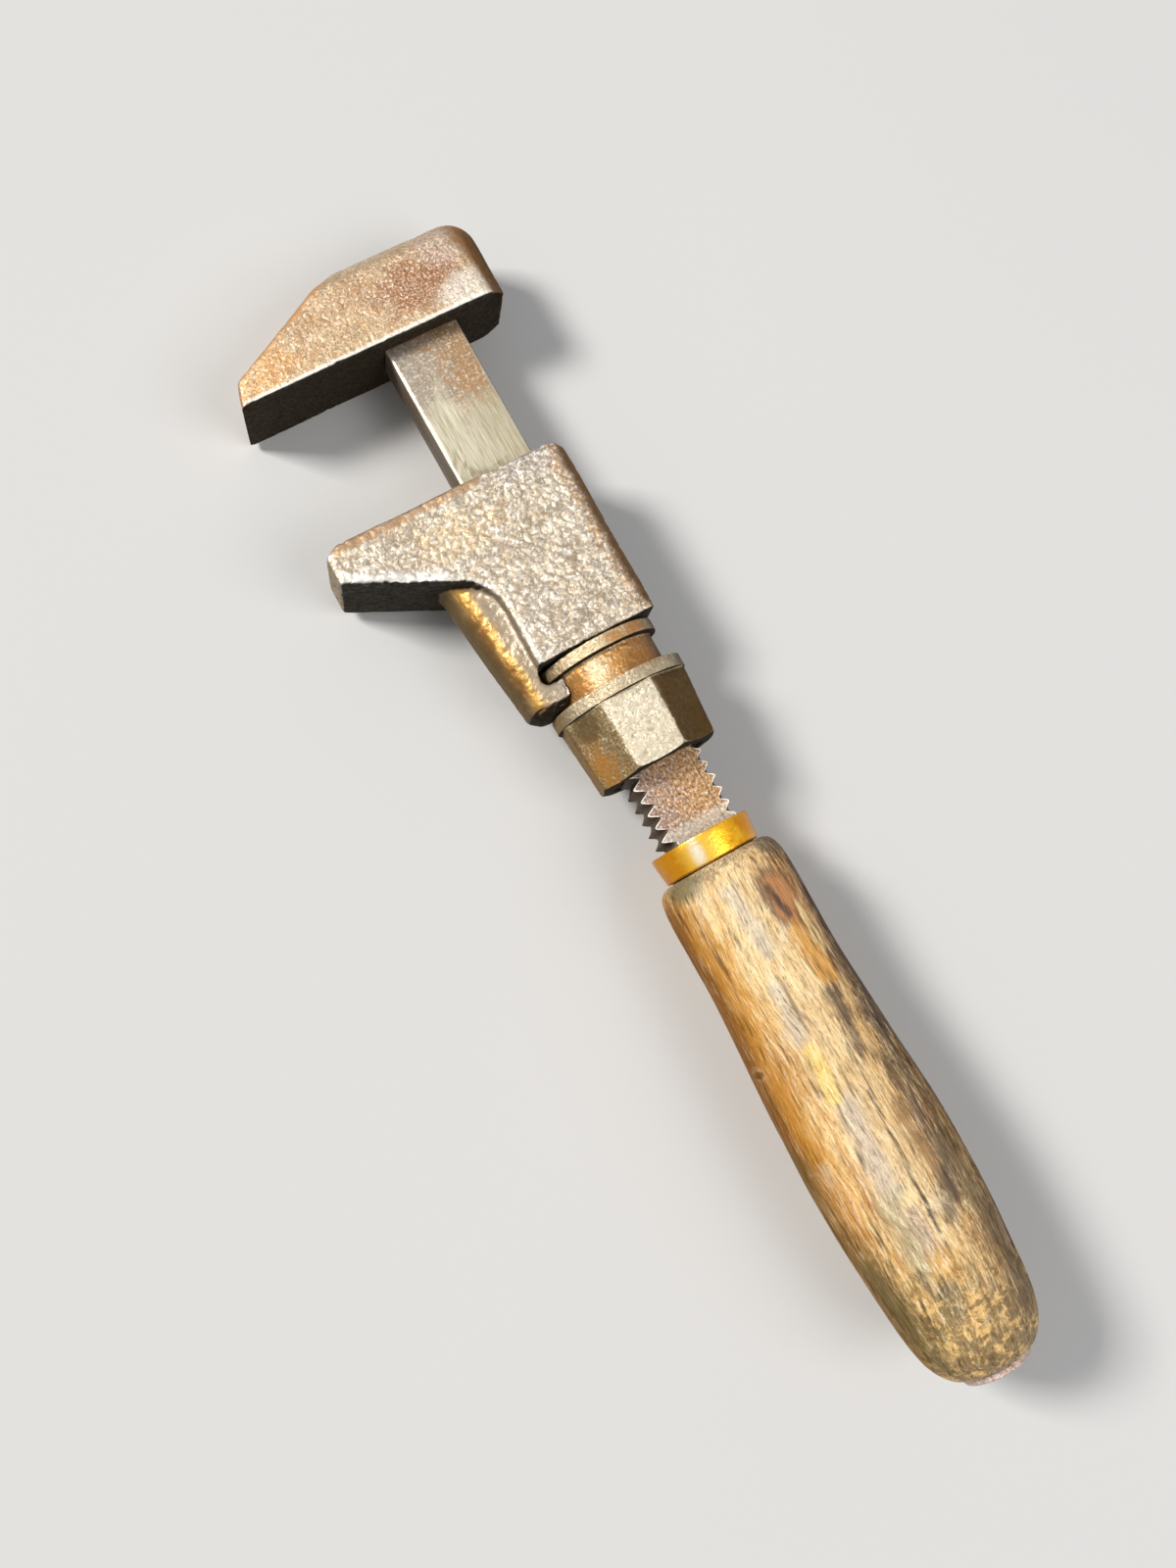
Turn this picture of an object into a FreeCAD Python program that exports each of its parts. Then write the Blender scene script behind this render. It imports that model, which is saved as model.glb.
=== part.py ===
import FreeCAD, Part
import os
import re

import Sketcher
from FreeCAD import Rotation, Vector

# Screw wrench with a turned wooden handle, in millimetres.
#
# The origin is where the bar's centre line crosses the gripping face of the fixed jaw.  +Y runs
# up the bar through the head, -X points to the tips of the jaws, and +Z comes out of the front
# face.  A "depth" is a distance down the bar from the gripping face, so y = -depth.
#
# Turning the nut moves it along the thread cut in the bar's two narrow edges.  A hook on the
# sliding jaw sits in the nut's groove, so the jaw goes where the nut goes.

SIZES = (
    ("bar_width", 16.0, "bar, across its threaded edges"),
    ("bar_thickness", 9.5, "bar, front to back"),
    ("bar_in_ferrule", 2.3, "how far the bar reaches into the ferrule before it steps down to its tang"),
    ("peen_height", 0.8, "bar end standing proud of the head, riveted over"),
    ("peen_bevel", 0.6, "bevel round the riveted bar end"),
    ("thread_pitch", 2.822, "nine turns to the inch, one start, right-handed"),
    ("thread_top", 35.6, "depth of the first turn"),
    ("root_radius", 7.1, "radius of the thread's sharp root"),
    ("crest_flat", 0.3, "width left between two grooves at the bar's corner"),
    ("bore_play", 0.1, "clearance of the nut's bore round the bar's corners"),
    ("tang_width", 11.0, "tang at the shoulder, side to side"),
    ("tang_thickness", 7.0, "tang at the shoulder, front to back"),
    ("tang_taper", 1.0, "slope of each tang side, degrees"),
    ("tang_length", 88.0, "tapered part of the tang"),
    ("pin_radius", 2.0, "round end of the tang"),
    ("rivet_radius", 3.6, "tang end riveted over the washer"),
    ("rivet_height", 0.7, "height of the riveted tang end"),
    ("rivet_bevel", 0.5, "bevel round the riveted tang end"),
    ("head_height", 19.0, "fixed jaw, gripping face to top"),
    ("head_thickness", 20.0, "fixed jaw, front to back"),
    ("head_reach", 39.3, "bar centre to the tip of the fixed jaw"),
    ("head_back", 19.0, "bar centre to the blunt end of the fixed jaw"),
    ("head_tip", 5.6, "height of the fixed jaw's tip"),
    ("head_tip_lean", 1.7, "how far the tip leans back at its top"),
    ("head_shoulder", 10.5, "bar centre to where the top starts to slope"),
    ("head_corner_round", 6.0, "rounding of the blunt end's top corner"),
    ("head_end_bevel", 3.4, "bevel that takes off the blunt end's upright edges"),
    ("head_edge_bevel", 0.8, "worn bevel of the head's outer edges"),
    ("mortise_play", 0.02, "clearance of the bar in the head"),
    ("jaw_opening", 32.0, "gap between the gripping faces as stored"),
    ("jaw_thickness", 20.0, "sliding jaw, front to back"),
    ("jaw_reach", 39.0, "bar centre to the tip of the sliding jaw"),
    ("jaw_side", 13.0, "bar centre to each side of the sliding jaw's body"),
    ("jaw_length", 39.2, "sliding jaw's body, along the bar"),
    ("jaw_tip", 7.8, "height of the sliding jaw's tip"),
    ("jaw_bevel_run", 3.0, "bevel at the top of the tip, along the face"),
    ("jaw_bevel_drop", 1.7, "bevel at the top of the tip, along the bar"),
    ("arm_root", 20.5, "height of the arm where it meets the body"),
    ("arm_fillet", 9.0, "hollow rounding under the arm"),
    ("jaw_corner_round", 3.0, "rounding of the body's corners on the blunt side"),
    ("jaw_edge_bevel", 0.7, "worn bevel of the sliding jaw's outer edges"),
    ("slide_play", 0.12, "clearance of the bar in the sliding jaw"),
    ("leg_top_outer", 22.3, "bar centre to the outside of the leg, at its upper end"),
    ("leg_outer", 18.2, "the same at the hook"),
    ("leg_top", 12.0, "leg's upper end, below the sliding jaw's face"),
    ("leg_thickness", 14.0, "leg and hook, front to back"),
    ("leg_root", 1.0, "how far the leg runs into the body"),
    ("leg_round", 5.0, "rounding of the leg's outer edges"),
    ("hook_tip", 8.0, "bar centre to the two points of the hook, each side of the nut's neck"),
    ("hook_bevel", 2.0, "bevel of the hook's lower corner"),
    ("hook_play", 0.25, "clearance of the hook in the nut's groove"),
    ("thrust_play", 0.4, "clearance between the sliding jaw and the nut"),
    ("upper_flange_radius", 12.8, "nut's thin flange under the jaw"),
    ("upper_flange", 2.6, "its thickness"),
    ("neck_radius", 11.3, "bottom of the nut's groove"),
    ("neck_length", 6.2, "width of the nut's groove"),
    ("lower_flange_radius", 14.3, "nut's wide flange"),
    ("lower_flange", 2.9, "its thickness"),
    ("octagon_top", 13.4, "nut centre to a flat, under the wide flange"),
    ("octagon_bottom", 12.3, "nut centre to a flat, at the lower end"),
    ("octagon_length", 14.7, "length of the flats"),
    ("octagon_turn", 5.0, "turn of the flats from square to the jaws, degrees"),
    ("corner_radius_top", 14.2, "turned radius of the octagon's corners, top"),
    ("corner_radius_bottom", 13.25, "the same at the lower end"),
    ("nut_bevel", 0.6, "turned bevel at the nut's lower end, inside the flats"),
    ("nut_bevel_height", 0.8, "height of that bevel at the corners"),
    ("ferrule_depth", 113.7, "depth of the ferrule's upper rim"),
    ("ferrule_length", 5.8, "ferrule, along the bar"),
    ("ferrule_top_radius", 10.6, "ferrule's outside at the upper rim"),
    ("ferrule_low_radius", 10.0, "ferrule's outside where it meets the handle"),
    ("ferrule_wall", 0.8, "brass thickness"),
    ("ferrule_play", 0.02, "clearance between ferrule and wood"),
    ("handle_length", 107.0, "wood, from the ferrule to the butt"),
    ("rim_radius", 10.2, "radius of the flat round the ferrule, at the handle's top"),
    ("shoulder_drop", 3.0, "from the handle's top to its shoulder"),
    ("shoulder_radius", 13.3, "radius of the shoulder"),
    ("waist_drop", 26.0, "from the handle's top to its waist"),
    ("waist_radius", 13.5, "radius of the waist"),
    ("belly_drop", 65.0, "from the handle's top to its widest place"),
    ("belly_radius", 15.3, "radius of the widest place"),
    ("heel_drop", 90.0, "from the handle's top to the heel"),
    ("heel_radius", 14.1, "radius of the heel"),
    ("butt_drop", 102.5, "from the handle's top to where the butt turns in"),
    ("butt_radius", 12.1, "radius there"),
    ("end_radius", 7.7, "radius of the flat at the butt"),
    ("tang_play", 0.05, "clearance of the tang in the wood"),
    ("washer_radius", 7.2, "washer under the riveted tang end"),
    ("washer_thickness", 1.5, "its thickness"),
    ("washer_bevel", 0.4, "bevel of its rim"),
)

# Places along the bar, each worked out from the sizes above.
JAW_FOOT = "(jaw_opening + jaw_length)"
NUT_TOP = f"({JAW_FOOT} + thrust_play)"
NECK_TOP = f"({NUT_TOP} + upper_flange)"
NECK_FOOT = f"({NECK_TOP} + neck_length)"
OCTAGON_TOP = f"({NECK_FOOT} + lower_flange)"
NUT_FOOT = f"({OCTAGON_TOP} + octagon_length)"
HANDLE_TOP = "(ferrule_depth + ferrule_length)"
BUTT = f"({HANDLE_TOP} + handle_length)"
BAR_END = "(ferrule_depth + bar_in_ferrule)"
WASHER_FACE = f"({BUTT} + washer_thickness)"

# The thread is a V that opens evenly from its root to the bar's corners.
CORNER = "(sqrt(bar_width^2 + bar_thickness^2)/2)"
FLANK = f"((thread_pitch - crest_flat)/2/({CORNER} - root_radius))"
FLAT_COUNT = 8

OVERRUN = 1  # how far a through cut starts and ends outside the piece
MARGIN = 0.05  # how far a helical cut starts outside the surface that it opens
TOLERANCE = 1e-4
SPREAD = 20  # radius of the circle on which an outline's corners start, before they are constrained


def groove_half(radius):
    """Half the width of the bar's groove at a radius, as an expression."""
    return f"({FLANK}*({radius} - root_radius))"


def bound(text):
    """The expression with each size named as a cell of the sheet."""
    return re.sub(r"\b[a-z_]+\b(?!\()", r"Sizes.\g<0>", str(text))


def make_sheet(doc):
    """The driving dimensions: a name, a plain number and a note in each row."""
    sheet = doc.addObject("Spreadsheet::Sheet", "Sizes")
    for row, (name, value, note) in enumerate(SIZES, start=1):
        sheet.set(f"A{row}", name)
        sheet.set(f"B{row}", str(value))
        sheet.setAlias(f"B{row}", name)
        sheet.set(f"C{row}", note)
    doc.recompute()
    return sheet


def new_body(doc, name):
    """An empty body whose label is the name of its node."""
    body = doc.addObject("PartDesign::Body", name)
    body.Label = name
    return body


def new_sketch(body, name, plane, depth=None):
    """A sketch on one of the body's own planes; a depth moves it down the bar."""
    sketch = body.newObject("Sketcher::SketchObject", name)
    support = next(f for f in body.Origin.OriginFeatures if f.Role == plane)
    sketch.AttachmentSupport = [(support, "")]
    sketch.MapMode = "FlatFace"
    if depth is not None:
        sketch.setExpression("AttachmentOffset.Base.z", bound(depth))
    return sketch


def constrain(sketch, kind, elements, expression):
    """Adds a dimension to the sketch and binds it to the sheet."""
    index = sketch.addConstraint(Sketcher.Constraint(kind, *elements, 1.0))
    sketch.setExpression(f"Constraints[{index}]", bound(expression))


def outline(sketch, corners):
    """A closed outline of straight lines through corners given as pairs of expressions."""
    count = len(corners)
    spots = [Rotation(Vector(0, 0, 1), 360.0 * i / count).multVec(Vector(SPREAD, 0, 0)) for i in range(count)]
    for i in range(count):
        sketch.addGeometry(Part.LineSegment(spots[i], spots[(i + 1) % count]))
    for i, (across, along) in enumerate(corners):
        sketch.addConstraint(Sketcher.Constraint("Coincident", i, 2, (i + 1) % count, 1))
        constrain(sketch, "DistanceX", (-1, 1, i, 1), across)
        constrain(sketch, "DistanceY", (-1, 1, i, 1), along)


def rectangle(sketch, half_width, half_height):
    """A rectangle centred on the sketch's origin."""
    left, right = f"-({half_width})", f"({half_width})"
    low, high = f"-({half_height})", f"({half_height})"
    outline(sketch, [(left, low), (right, low), (right, high), (left, high)])


def circle(sketch, radius):
    """A circle centred on the sketch's origin."""
    sketch.addGeometry(Part.Circle(Vector(0, 0, 0), Vector(0, 0, 1), SPREAD))
    sketch.addConstraint(Sketcher.Constraint("Coincident", 0, 3, -1, 1))
    constrain(sketch, "Radius", (0,), radius)


def extrude(body, kind, name, sketch, length, symmetric=False, taper=None):
    """A pad or pocket of a sketch, along the sketch's normal or to both sides of it."""
    feature = body.newObject(f"PartDesign::{kind}", name)
    feature.Profile = sketch
    feature.setExpression("Length", bound(length))
    if symmetric:
        feature.SideType = "Symmetric"
    if taper is not None:
        feature.setExpression("TaperAngle", bound(taper))
    return feature


def down_pocket(body, name, sketch, length, taper=None):
    """A pocket that runs down the bar, the way a sketch's depth is counted."""
    feature = extrude(body, "Pocket", name, sketch, length, taper=taper)
    feature.Reversed = True
    return feature


def revolve(body, name, corners):
    """A turned solid; corners are pairs of radius and depth."""
    sketch = new_sketch(body, f"{name}_profile", "XY_Plane")
    outline(sketch, [(radius, f"-({depth})") for radius, depth in corners])
    feature = body.newObject("PartDesign::Revolution", name)
    feature.Profile = sketch
    feature.ReferenceAxis = (sketch, ["V_Axis"])
    feature.Angle = 360.0
    return feature


def helical_cut(body, name, corners, height):
    """A right-handed helical cut down the bar; corners are pairs of radius and depth."""
    sketch = new_sketch(body, f"{name}_profile", "XY_Plane")
    outline(sketch, [(radius, f"-({depth})") for radius, depth in corners])
    feature = body.newObject("PartDesign::SubtractiveHelix", name)
    feature.Profile = sketch
    feature.ReferenceAxis = (sketch, ["V_Axis"])
    feature.Mode = "pitch-height-angle"
    feature.Reversed = True
    feature.setExpression("Pitch", bound("thread_pitch"))
    feature.setExpression("Height", bound(height))
    return feature


def lies(edge, x=None, y=None, z=None):
    """Whether every end of the edge has the coordinates that are given."""
    wanted = ((0, x), (1, y), (2, z))
    return all(
        abs(vertex.Point[axis] - value) < TOLERANCE
        for vertex in edge.Vertexes
        for axis, value in wanted
        if value is not None
    )


def dress(body, kind, name, base, size, test):
    """A fillet or chamfer of the edges of the base feature that pass the test."""
    body.Document.recompute()
    edges = [f"Edge{i}" for i, edge in enumerate(base.Shape.Edges, start=1) if test(edge)]
    if not edges:
        raise RuntimeError(f"{body.Label}: {name} finds no edge")
    feature = body.newObject(f"PartDesign::{kind}", name)
    feature.Base = (base, edges)
    feature.setExpression("Radius" if kind == "Fillet" else "Size", bound(size))
    return feature


def make_bar(doc, size):
    """The bar: threaded along its edges, riveted through the head, tanged through the handle."""
    body = new_body(doc, "bar")
    section = new_sketch(body, "bar_section", "XZ_Plane", "-(head_height + peen_height)")
    rectangle(section, "bar_width/2", "bar_thickness/2")
    stock = extrude(body, "Pad", "stock", section, f"head_height + peen_height + {BAR_END}")
    top = size.head_height + size.peen_height
    dress(body, "Chamfer", "peened_end", stock, "peen_bevel", lambda e: lies(e, y=top))

    outer = f"({CORNER} + {MARGIN})"
    start = "thread_top"
    half = groove_half(outer)
    helical_cut(
        body,
        "thread",
        [("root_radius", start), (outer, f"{start} + {half}"), (outer, f"{start} - {half}")],
        f"{BAR_END} - thread_top + thread_pitch",
    )

    tang_section = new_sketch(body, "tang_section", "XZ_Plane", BAR_END)
    rectangle(tang_section, "tang_width/2", "tang_thickness/2")
    extrude(body, "Pad", "tang", tang_section, "tang_length", taper="-tang_taper")
    pin_section = new_sketch(body, "pin_section", "XZ_Plane", f"{BAR_END} + tang_length")
    circle(pin_section, "pin_radius")
    extrude(body, "Pad", "pin", pin_section, f"{WASHER_FACE} - {BAR_END} - tang_length")
    rivet_section = new_sketch(body, "rivet_section", "XZ_Plane", WASHER_FACE)
    circle(rivet_section, "rivet_radius")
    rivet = extrude(body, "Pad", "rivet", rivet_section, "rivet_height")
    end = size.ferrule_depth + size.ferrule_length + size.handle_length
    end += size.washer_thickness + size.rivet_height
    dress(body, "Chamfer", "rivet_rim", rivet, "rivet_bevel", lambda e: lies(e, y=-end))
    return body


def make_fixed_jaw(doc, size):
    """The head: a forging with a mortise for the bar and its gripping face underneath."""
    body = new_body(doc, "fixed_jaw")
    profile = new_sketch(body, "head_profile", "XY_Plane")
    outline(
        profile,
        [
            ("-head_reach", "0"),
            ("head_back", "0"),
            ("head_back", "head_height"),
            ("-head_shoulder", "head_height"),
            ("-(head_reach - head_tip_lean)", "head_tip"),
        ],
    )
    block = extrude(body, "Pad", "head_block", profile, "head_thickness", symmetric=True)
    half = size.head_thickness / 2
    corner = dress(
        body,
        "Fillet",
        "top_corner",
        block,
        "head_corner_round",
        lambda e: lies(e, x=size.head_back, y=size.head_height),
    )
    end = dress(
        body,
        "Chamfer",
        "blunt_end",
        corner,
        "head_end_bevel",
        lambda e: lies(e, x=size.head_back) and (lies(e, z=half) or lies(e, z=-half)),
    )
    dress(
        body,
        "Chamfer",
        "worn_edges",
        end,
        "head_edge_bevel",
        lambda e: (lies(e, z=half) or lies(e, z=-half)) and not lies(e, y=0),
    )
    mouth = new_sketch(body, "mortise_section", "XZ_Plane", f"-(head_height + {OVERRUN})")
    rectangle(mouth, "bar_width/2 + mortise_play", "bar_thickness/2 + mortise_play")
    down_pocket(body, "mortise", mouth, f"head_height + 2*{OVERRUN}")
    return body


def make_sliding_jaw(doc, size):
    """The sliding jaw: arm and body round the bar, with a leg that hooks into the nut's groove."""
    body = new_body(doc, "sliding_jaw")
    profile = new_sketch(body, "jaw_profile", "XY_Plane")
    outline(
        profile,
        [
            ("-(jaw_reach - jaw_bevel_run)", "-jaw_opening"),
            ("-jaw_reach", "-(jaw_opening + jaw_bevel_drop)"),
            ("-jaw_reach", "-(jaw_opening + jaw_tip)"),
            ("-jaw_side", "-(jaw_opening + arm_root)"),
            ("-jaw_side", f"-{JAW_FOOT}"),
            ("jaw_side", f"-{JAW_FOOT}"),
            ("jaw_side", "-jaw_opening"),
        ],
    )
    block = extrude(body, "Pad", "jaw_block", profile, "jaw_thickness", symmetric=True)
    root = -(size.jaw_opening + size.arm_root)
    foot = -(size.jaw_opening + size.jaw_length)
    half = size.jaw_thickness / 2
    hollow = dress(
        body, "Fillet", "arm_hollow", block, "arm_fillet", lambda e: lies(e, x=-size.jaw_side, y=root)
    )
    corners = dress(
        body,
        "Fillet",
        "blunt_corners",
        hollow,
        "jaw_corner_round",
        lambda e: lies(e, x=size.jaw_side, y=-size.jaw_opening),
    )
    dress(
        body,
        "Chamfer",
        "worn_edges",
        corners,
        "jaw_edge_bevel",
        lambda e: (lies(e, z=half) or lies(e, z=-half)) and not lies(e, y=foot),
    )

    hook_top = f"({NECK_TOP} + hook_play)"
    hook_foot = f"({NECK_FOOT} - hook_play)"
    flange_clear = "-(upper_flange_radius + hook_play)"
    leg_profile = new_sketch(body, "leg_profile", "XY_Plane")
    outline(
        leg_profile,
        [
            ("-leg_top_outer", "-(jaw_opening + leg_top)"),
            ("-leg_outer", f"-{hook_foot}"),
            ("-hook_tip", f"-{hook_foot}"),
            ("-hook_tip", f"-{hook_top}"),
            (flange_clear, f"-{hook_top}"),
            (flange_clear, f"-({JAW_FOOT} - leg_root)"),
            ("-(jaw_side - leg_root)", f"-({JAW_FOOT} - leg_root)"),
            ("-(jaw_side - leg_root)", "-(jaw_opening + leg_top)"),
        ],
    )
    leg = extrude(body, "Pad", "leg", leg_profile, "leg_thickness", symmetric=True)
    leg_half = size.leg_thickness / 2
    rounded = dress(
        body,
        "Fillet",
        "leg_edges",
        leg,
        "leg_round",
        lambda e: (lies(e, z=leg_half) or lies(e, z=-leg_half))
        and max(vertex.X for vertex in e.Vertexes) < TOLERANCE - size.leg_outer,
    )
    lowest = size.jaw_opening + size.jaw_length + size.thrust_play + size.upper_flange
    lowest += size.neck_length - size.hook_play
    dress(
        body,
        "Chamfer",
        "hook_corner",
        rounded,
        "hook_bevel",
        lambda e: lies(e, x=-size.leg_outer, y=-lowest) and lies(e, y=-lowest),
    )
    seat = new_sketch(body, "neck_seat_section", "XZ_Plane", f"{NECK_TOP} + hook_play/2")
    circle(seat, "neck_radius + hook_play")
    down_pocket(body, "neck_seat", seat, "neck_length")

    slot = new_sketch(body, "slot_section", "XZ_Plane", f"jaw_opening - {OVERRUN}")
    rectangle(slot, "bar_width/2 + slide_play", "bar_thickness/2 + slide_play")
    down_pocket(body, "slot", slot, f"jaw_length + 2*{OVERRUN}")
    return body


def make_nut(doc, size):
    """The adjusting nut: two flanges with the hook's groove between them, and eight flats."""
    body = new_body(doc, "adjusting_nut")
    revolve(
        body,
        "turned_nut",
        [
            ("0", NUT_TOP),
            ("upper_flange_radius", NUT_TOP),
            ("upper_flange_radius", NECK_TOP),
            ("neck_radius", NECK_TOP),
            ("neck_radius", NECK_FOOT),
            ("lower_flange_radius", NECK_FOOT),
            ("lower_flange_radius", OCTAGON_TOP),
            ("corner_radius_top", OCTAGON_TOP),
            ("corner_radius_bottom", f"{NUT_FOOT} - nut_bevel_height"),
            ("octagon_bottom - nut_bevel", NUT_FOOT),
            ("0", NUT_FOOT),
        ],
    )
    slope = "((octagon_top - octagon_bottom)/octagon_length)"
    flat = new_sketch(body, "flat_profile", "YZ_Plane")
    flat.AttachmentOffset = FreeCAD.Placement(Vector(), Rotation(Vector(1, 0, 0), 1))
    flat.setExpression("AttachmentOffset.Rotation.Angle", bound("-octagon_turn"))
    outline(
        flat,
        [
            (f"-{OCTAGON_TOP}", "octagon_top"),
            (f"-{OCTAGON_TOP}", f"lower_flange_radius + {OVERRUN}"),
            (f"-({NUT_FOOT} + {OVERRUN})", f"lower_flange_radius + {OVERRUN}"),
            (f"-({NUT_FOOT} + {OVERRUN})", f"octagon_bottom - {slope}*{OVERRUN}"),
        ],
    )
    one_flat = extrude(body, "Pocket", "flat", flat, "4*lower_flange_radius", symmetric=True)
    doc.recompute()
    flats = body.newObject("PartDesign::PolarPattern", "flats")
    flats.Originals = [one_flat]
    flats.Axis = (flat, ["H_Axis"])
    flats.Angle = 360.0
    flats.Occurrences = FLAT_COUNT
    body.Tip = flats
    doc.recompute()

    # The bore clears the bar's corners.
    bore_section = new_sketch(body, "bore_section", "XZ_Plane", f"{NUT_TOP} - {OVERRUN}")
    circle(bore_section, f"{CORNER} + bore_play")
    down_pocket(body, "bore", bore_section, f"{NUT_FOOT} - {NUT_TOP} + 2*{OVERRUN}")
    return body


def make_ferrule(doc, size):
    """The brass ferrule, a thin ring a little wider at its upper rim."""
    body = new_body(doc, "ferrule")
    revolve(
        body,
        "ring",
        [
            ("ferrule_top_radius - ferrule_wall", "ferrule_depth"),
            ("ferrule_top_radius", "ferrule_depth"),
            ("ferrule_low_radius", HANDLE_TOP),
            ("ferrule_low_radius - ferrule_wall", HANDLE_TOP),
        ],
    )
    return body


def make_handle(doc, size):
    """The handle: turned wood with a spigot inside the ferrule and a hole for the tang."""
    body = new_body(doc, "handle")
    revolve(
        body,
        "turned_wood",
        [
            ("0", HANDLE_TOP),
            ("rim_radius", HANDLE_TOP),
            ("shoulder_radius", f"{HANDLE_TOP} + shoulder_drop"),
            ("waist_radius", f"{HANDLE_TOP} + waist_drop"),
            ("belly_radius", f"{HANDLE_TOP} + belly_drop"),
            ("heel_radius", f"{HANDLE_TOP} + heel_drop"),
            ("butt_radius", f"{HANDLE_TOP} + butt_drop"),
            ("end_radius", BUTT),
            ("0", BUTT),
        ],
    )

    slope = "((ferrule_top_radius - ferrule_low_radius)/ferrule_length)"
    seat = "(ferrule_low_radius - ferrule_wall - ferrule_play)"
    revolve(
        body,
        "spigot",
        [
            ("0", BAR_END),
            (f"{seat} + {slope}*({HANDLE_TOP} - {BAR_END})", BAR_END),
            (seat, HANDLE_TOP),
            (seat, f"{HANDLE_TOP} + {OVERRUN}"),
            ("0", f"{HANDLE_TOP} + {OVERRUN}"),
        ],
    )
    socket = new_sketch(body, "tang_hole_section", "XZ_Plane", BAR_END)
    rectangle(socket, "tang_width/2 + tang_play", "tang_thickness/2 + tang_play")
    down_pocket(body, "tang_hole", socket, "tang_length + tang_play", taper="-tang_taper")
    drill = new_sketch(body, "pin_hole_section", "XZ_Plane", f"{BAR_END} + tang_length - {OVERRUN}")
    circle(drill, "pin_radius + tang_play")
    down_pocket(body, "pin_hole", drill, f"{BUTT} - {BAR_END} - tang_length + 2*{OVERRUN}")
    return body


def make_washer(doc, size):
    """The washer that the tang is riveted over at the butt."""
    body = new_body(doc, "butt_washer")
    disc = revolve(
        body,
        "disc",
        [
            ("pin_radius + tang_play", BUTT),
            ("washer_radius", BUTT),
            ("washer_radius", WASHER_FACE),
            ("pin_radius + tang_play", WASHER_FACE),
        ],
    )
    face = size.ferrule_depth + size.ferrule_length + size.handle_length + size.washer_thickness
    dress(
        body,
        "Chamfer",
        "rim",
        disc,
        "washer_bevel",
        lambda e: lies(e, y=-face) and abs(e.Curve.Radius - size.washer_radius) < TOLERANCE,
    )
    return body


def check(doc, bodies):
    """Stops on a failed object or an unsound solid."""
    for item in doc.Objects:
        if "Invalid" in item.State or "Error" in item.State:
            raise RuntimeError(f"{item.Label} failed: {item.State}")
    for body in bodies:
        if body.Shape.isNull() or not body.Shape.isValid() or len(body.Shape.Solids) != 1:
            raise RuntimeError(f"{body.Label} is not one sound solid")


def main():
    doc = FreeCAD.newDocument("wrench")
    size = make_sheet(doc)
    makers = (make_bar, make_fixed_jaw, make_sliding_jaw, make_nut, make_ferrule, make_handle, make_washer)
    bodies = [maker(doc, size) for maker in makers]
    doc.recompute()
    check(doc, bodies)
    os.makedirs("parts", exist_ok=True)
    for body in bodies:
        body.Shape.exportStep(f"parts/{body.Label}.step")
        box = body.Shape.BoundBox
        print(
            f"{body.Label:14s} volume {body.Shape.Volume:9.1f}  "
            f"x {box.XMin:7.2f} {box.XMax:7.2f}  y {box.YMin:8.2f} {box.YMax:7.2f}  z {box.ZMin:7.2f} {box.ZMax:7.2f}"
        )


main()
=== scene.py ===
"""Screw wrench with a turned wooden handle: its visible pieces, finishes, floor, lamps and camera.

Everything is in metres in the frame's own axes: +Y runs up the bar through the head, -X points to the
tips of the jaws and +Z comes out of the front face. Profiles give a radius and a depth below the
bar's origin, and they and the stains are in millimetres.
"""

import logging
import math
from dataclasses import dataclass
from enum import Enum
from functools import reduce
from typing import Any, Callable, Iterable, Sequence

import bmesh
import bpy
import numpy as np
from mathutils import Matrix, Vector


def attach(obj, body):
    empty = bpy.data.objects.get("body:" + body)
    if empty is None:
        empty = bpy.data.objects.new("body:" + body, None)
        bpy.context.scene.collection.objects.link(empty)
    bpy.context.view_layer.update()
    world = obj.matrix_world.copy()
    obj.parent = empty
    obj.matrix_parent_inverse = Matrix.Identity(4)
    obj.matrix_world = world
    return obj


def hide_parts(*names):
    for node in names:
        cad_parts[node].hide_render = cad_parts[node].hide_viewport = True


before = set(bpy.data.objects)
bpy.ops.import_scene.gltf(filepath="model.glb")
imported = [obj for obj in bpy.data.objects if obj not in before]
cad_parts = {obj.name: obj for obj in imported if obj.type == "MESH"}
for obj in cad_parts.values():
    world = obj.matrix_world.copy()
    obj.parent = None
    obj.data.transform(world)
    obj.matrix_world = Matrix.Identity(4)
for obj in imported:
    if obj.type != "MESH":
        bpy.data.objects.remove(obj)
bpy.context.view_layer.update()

LOG = logging.getLogger("wrench")
MM = 0.001
JOIN = 1e-6
TOUCH = 1e-7
NOISE_RANGE = (0.28, 0.72)
VIEWPORT_COLOUR = (0.4, 0.35, 0.3, 1.0)
Pair = tuple[float, float]
Colour = tuple[float, float, float]
Point = tuple[float, float, float]
Stops = Sequence[tuple[float, Colour]]
Mesh = bpy.types.Mesh
Piece = bpy.types.Object
Material = bpy.types.Material
Value = Any


# ---- Node trees ----


def sign(operation: str, swapped: bool = False) -> Callable[["Term", "Value"], "Term"]:
    """A sign between a term and what stands after it, or before it if they are swapped."""
    return lambda one, two: one.graph.math(operation, *((two, one) if swapped else (one, two)))


class Term:
    """A node's output, written with the usual signs: each sign adds a Math node."""

    __add__ = sign("ADD")
    __sub__, __rsub__ = sign("SUBTRACT"), sign("SUBTRACT", swapped=True)
    __mul__ = sign("MULTIPLY")
    __truediv__, __rtruediv__ = sign("DIVIDE"), sign("DIVIDE", swapped=True)

    def __init__(self, graph: "Graph", socket: bpy.types.NodeSocket) -> None:
        """Keeps the output and its tree's writer."""
        self.graph, self.socket = graph, socket


class Field(Enum):
    """Names of the values that the meshes carry for their finishes."""

    WEAR = "edge_wear"
    PIT = "pit_depth"


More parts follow.
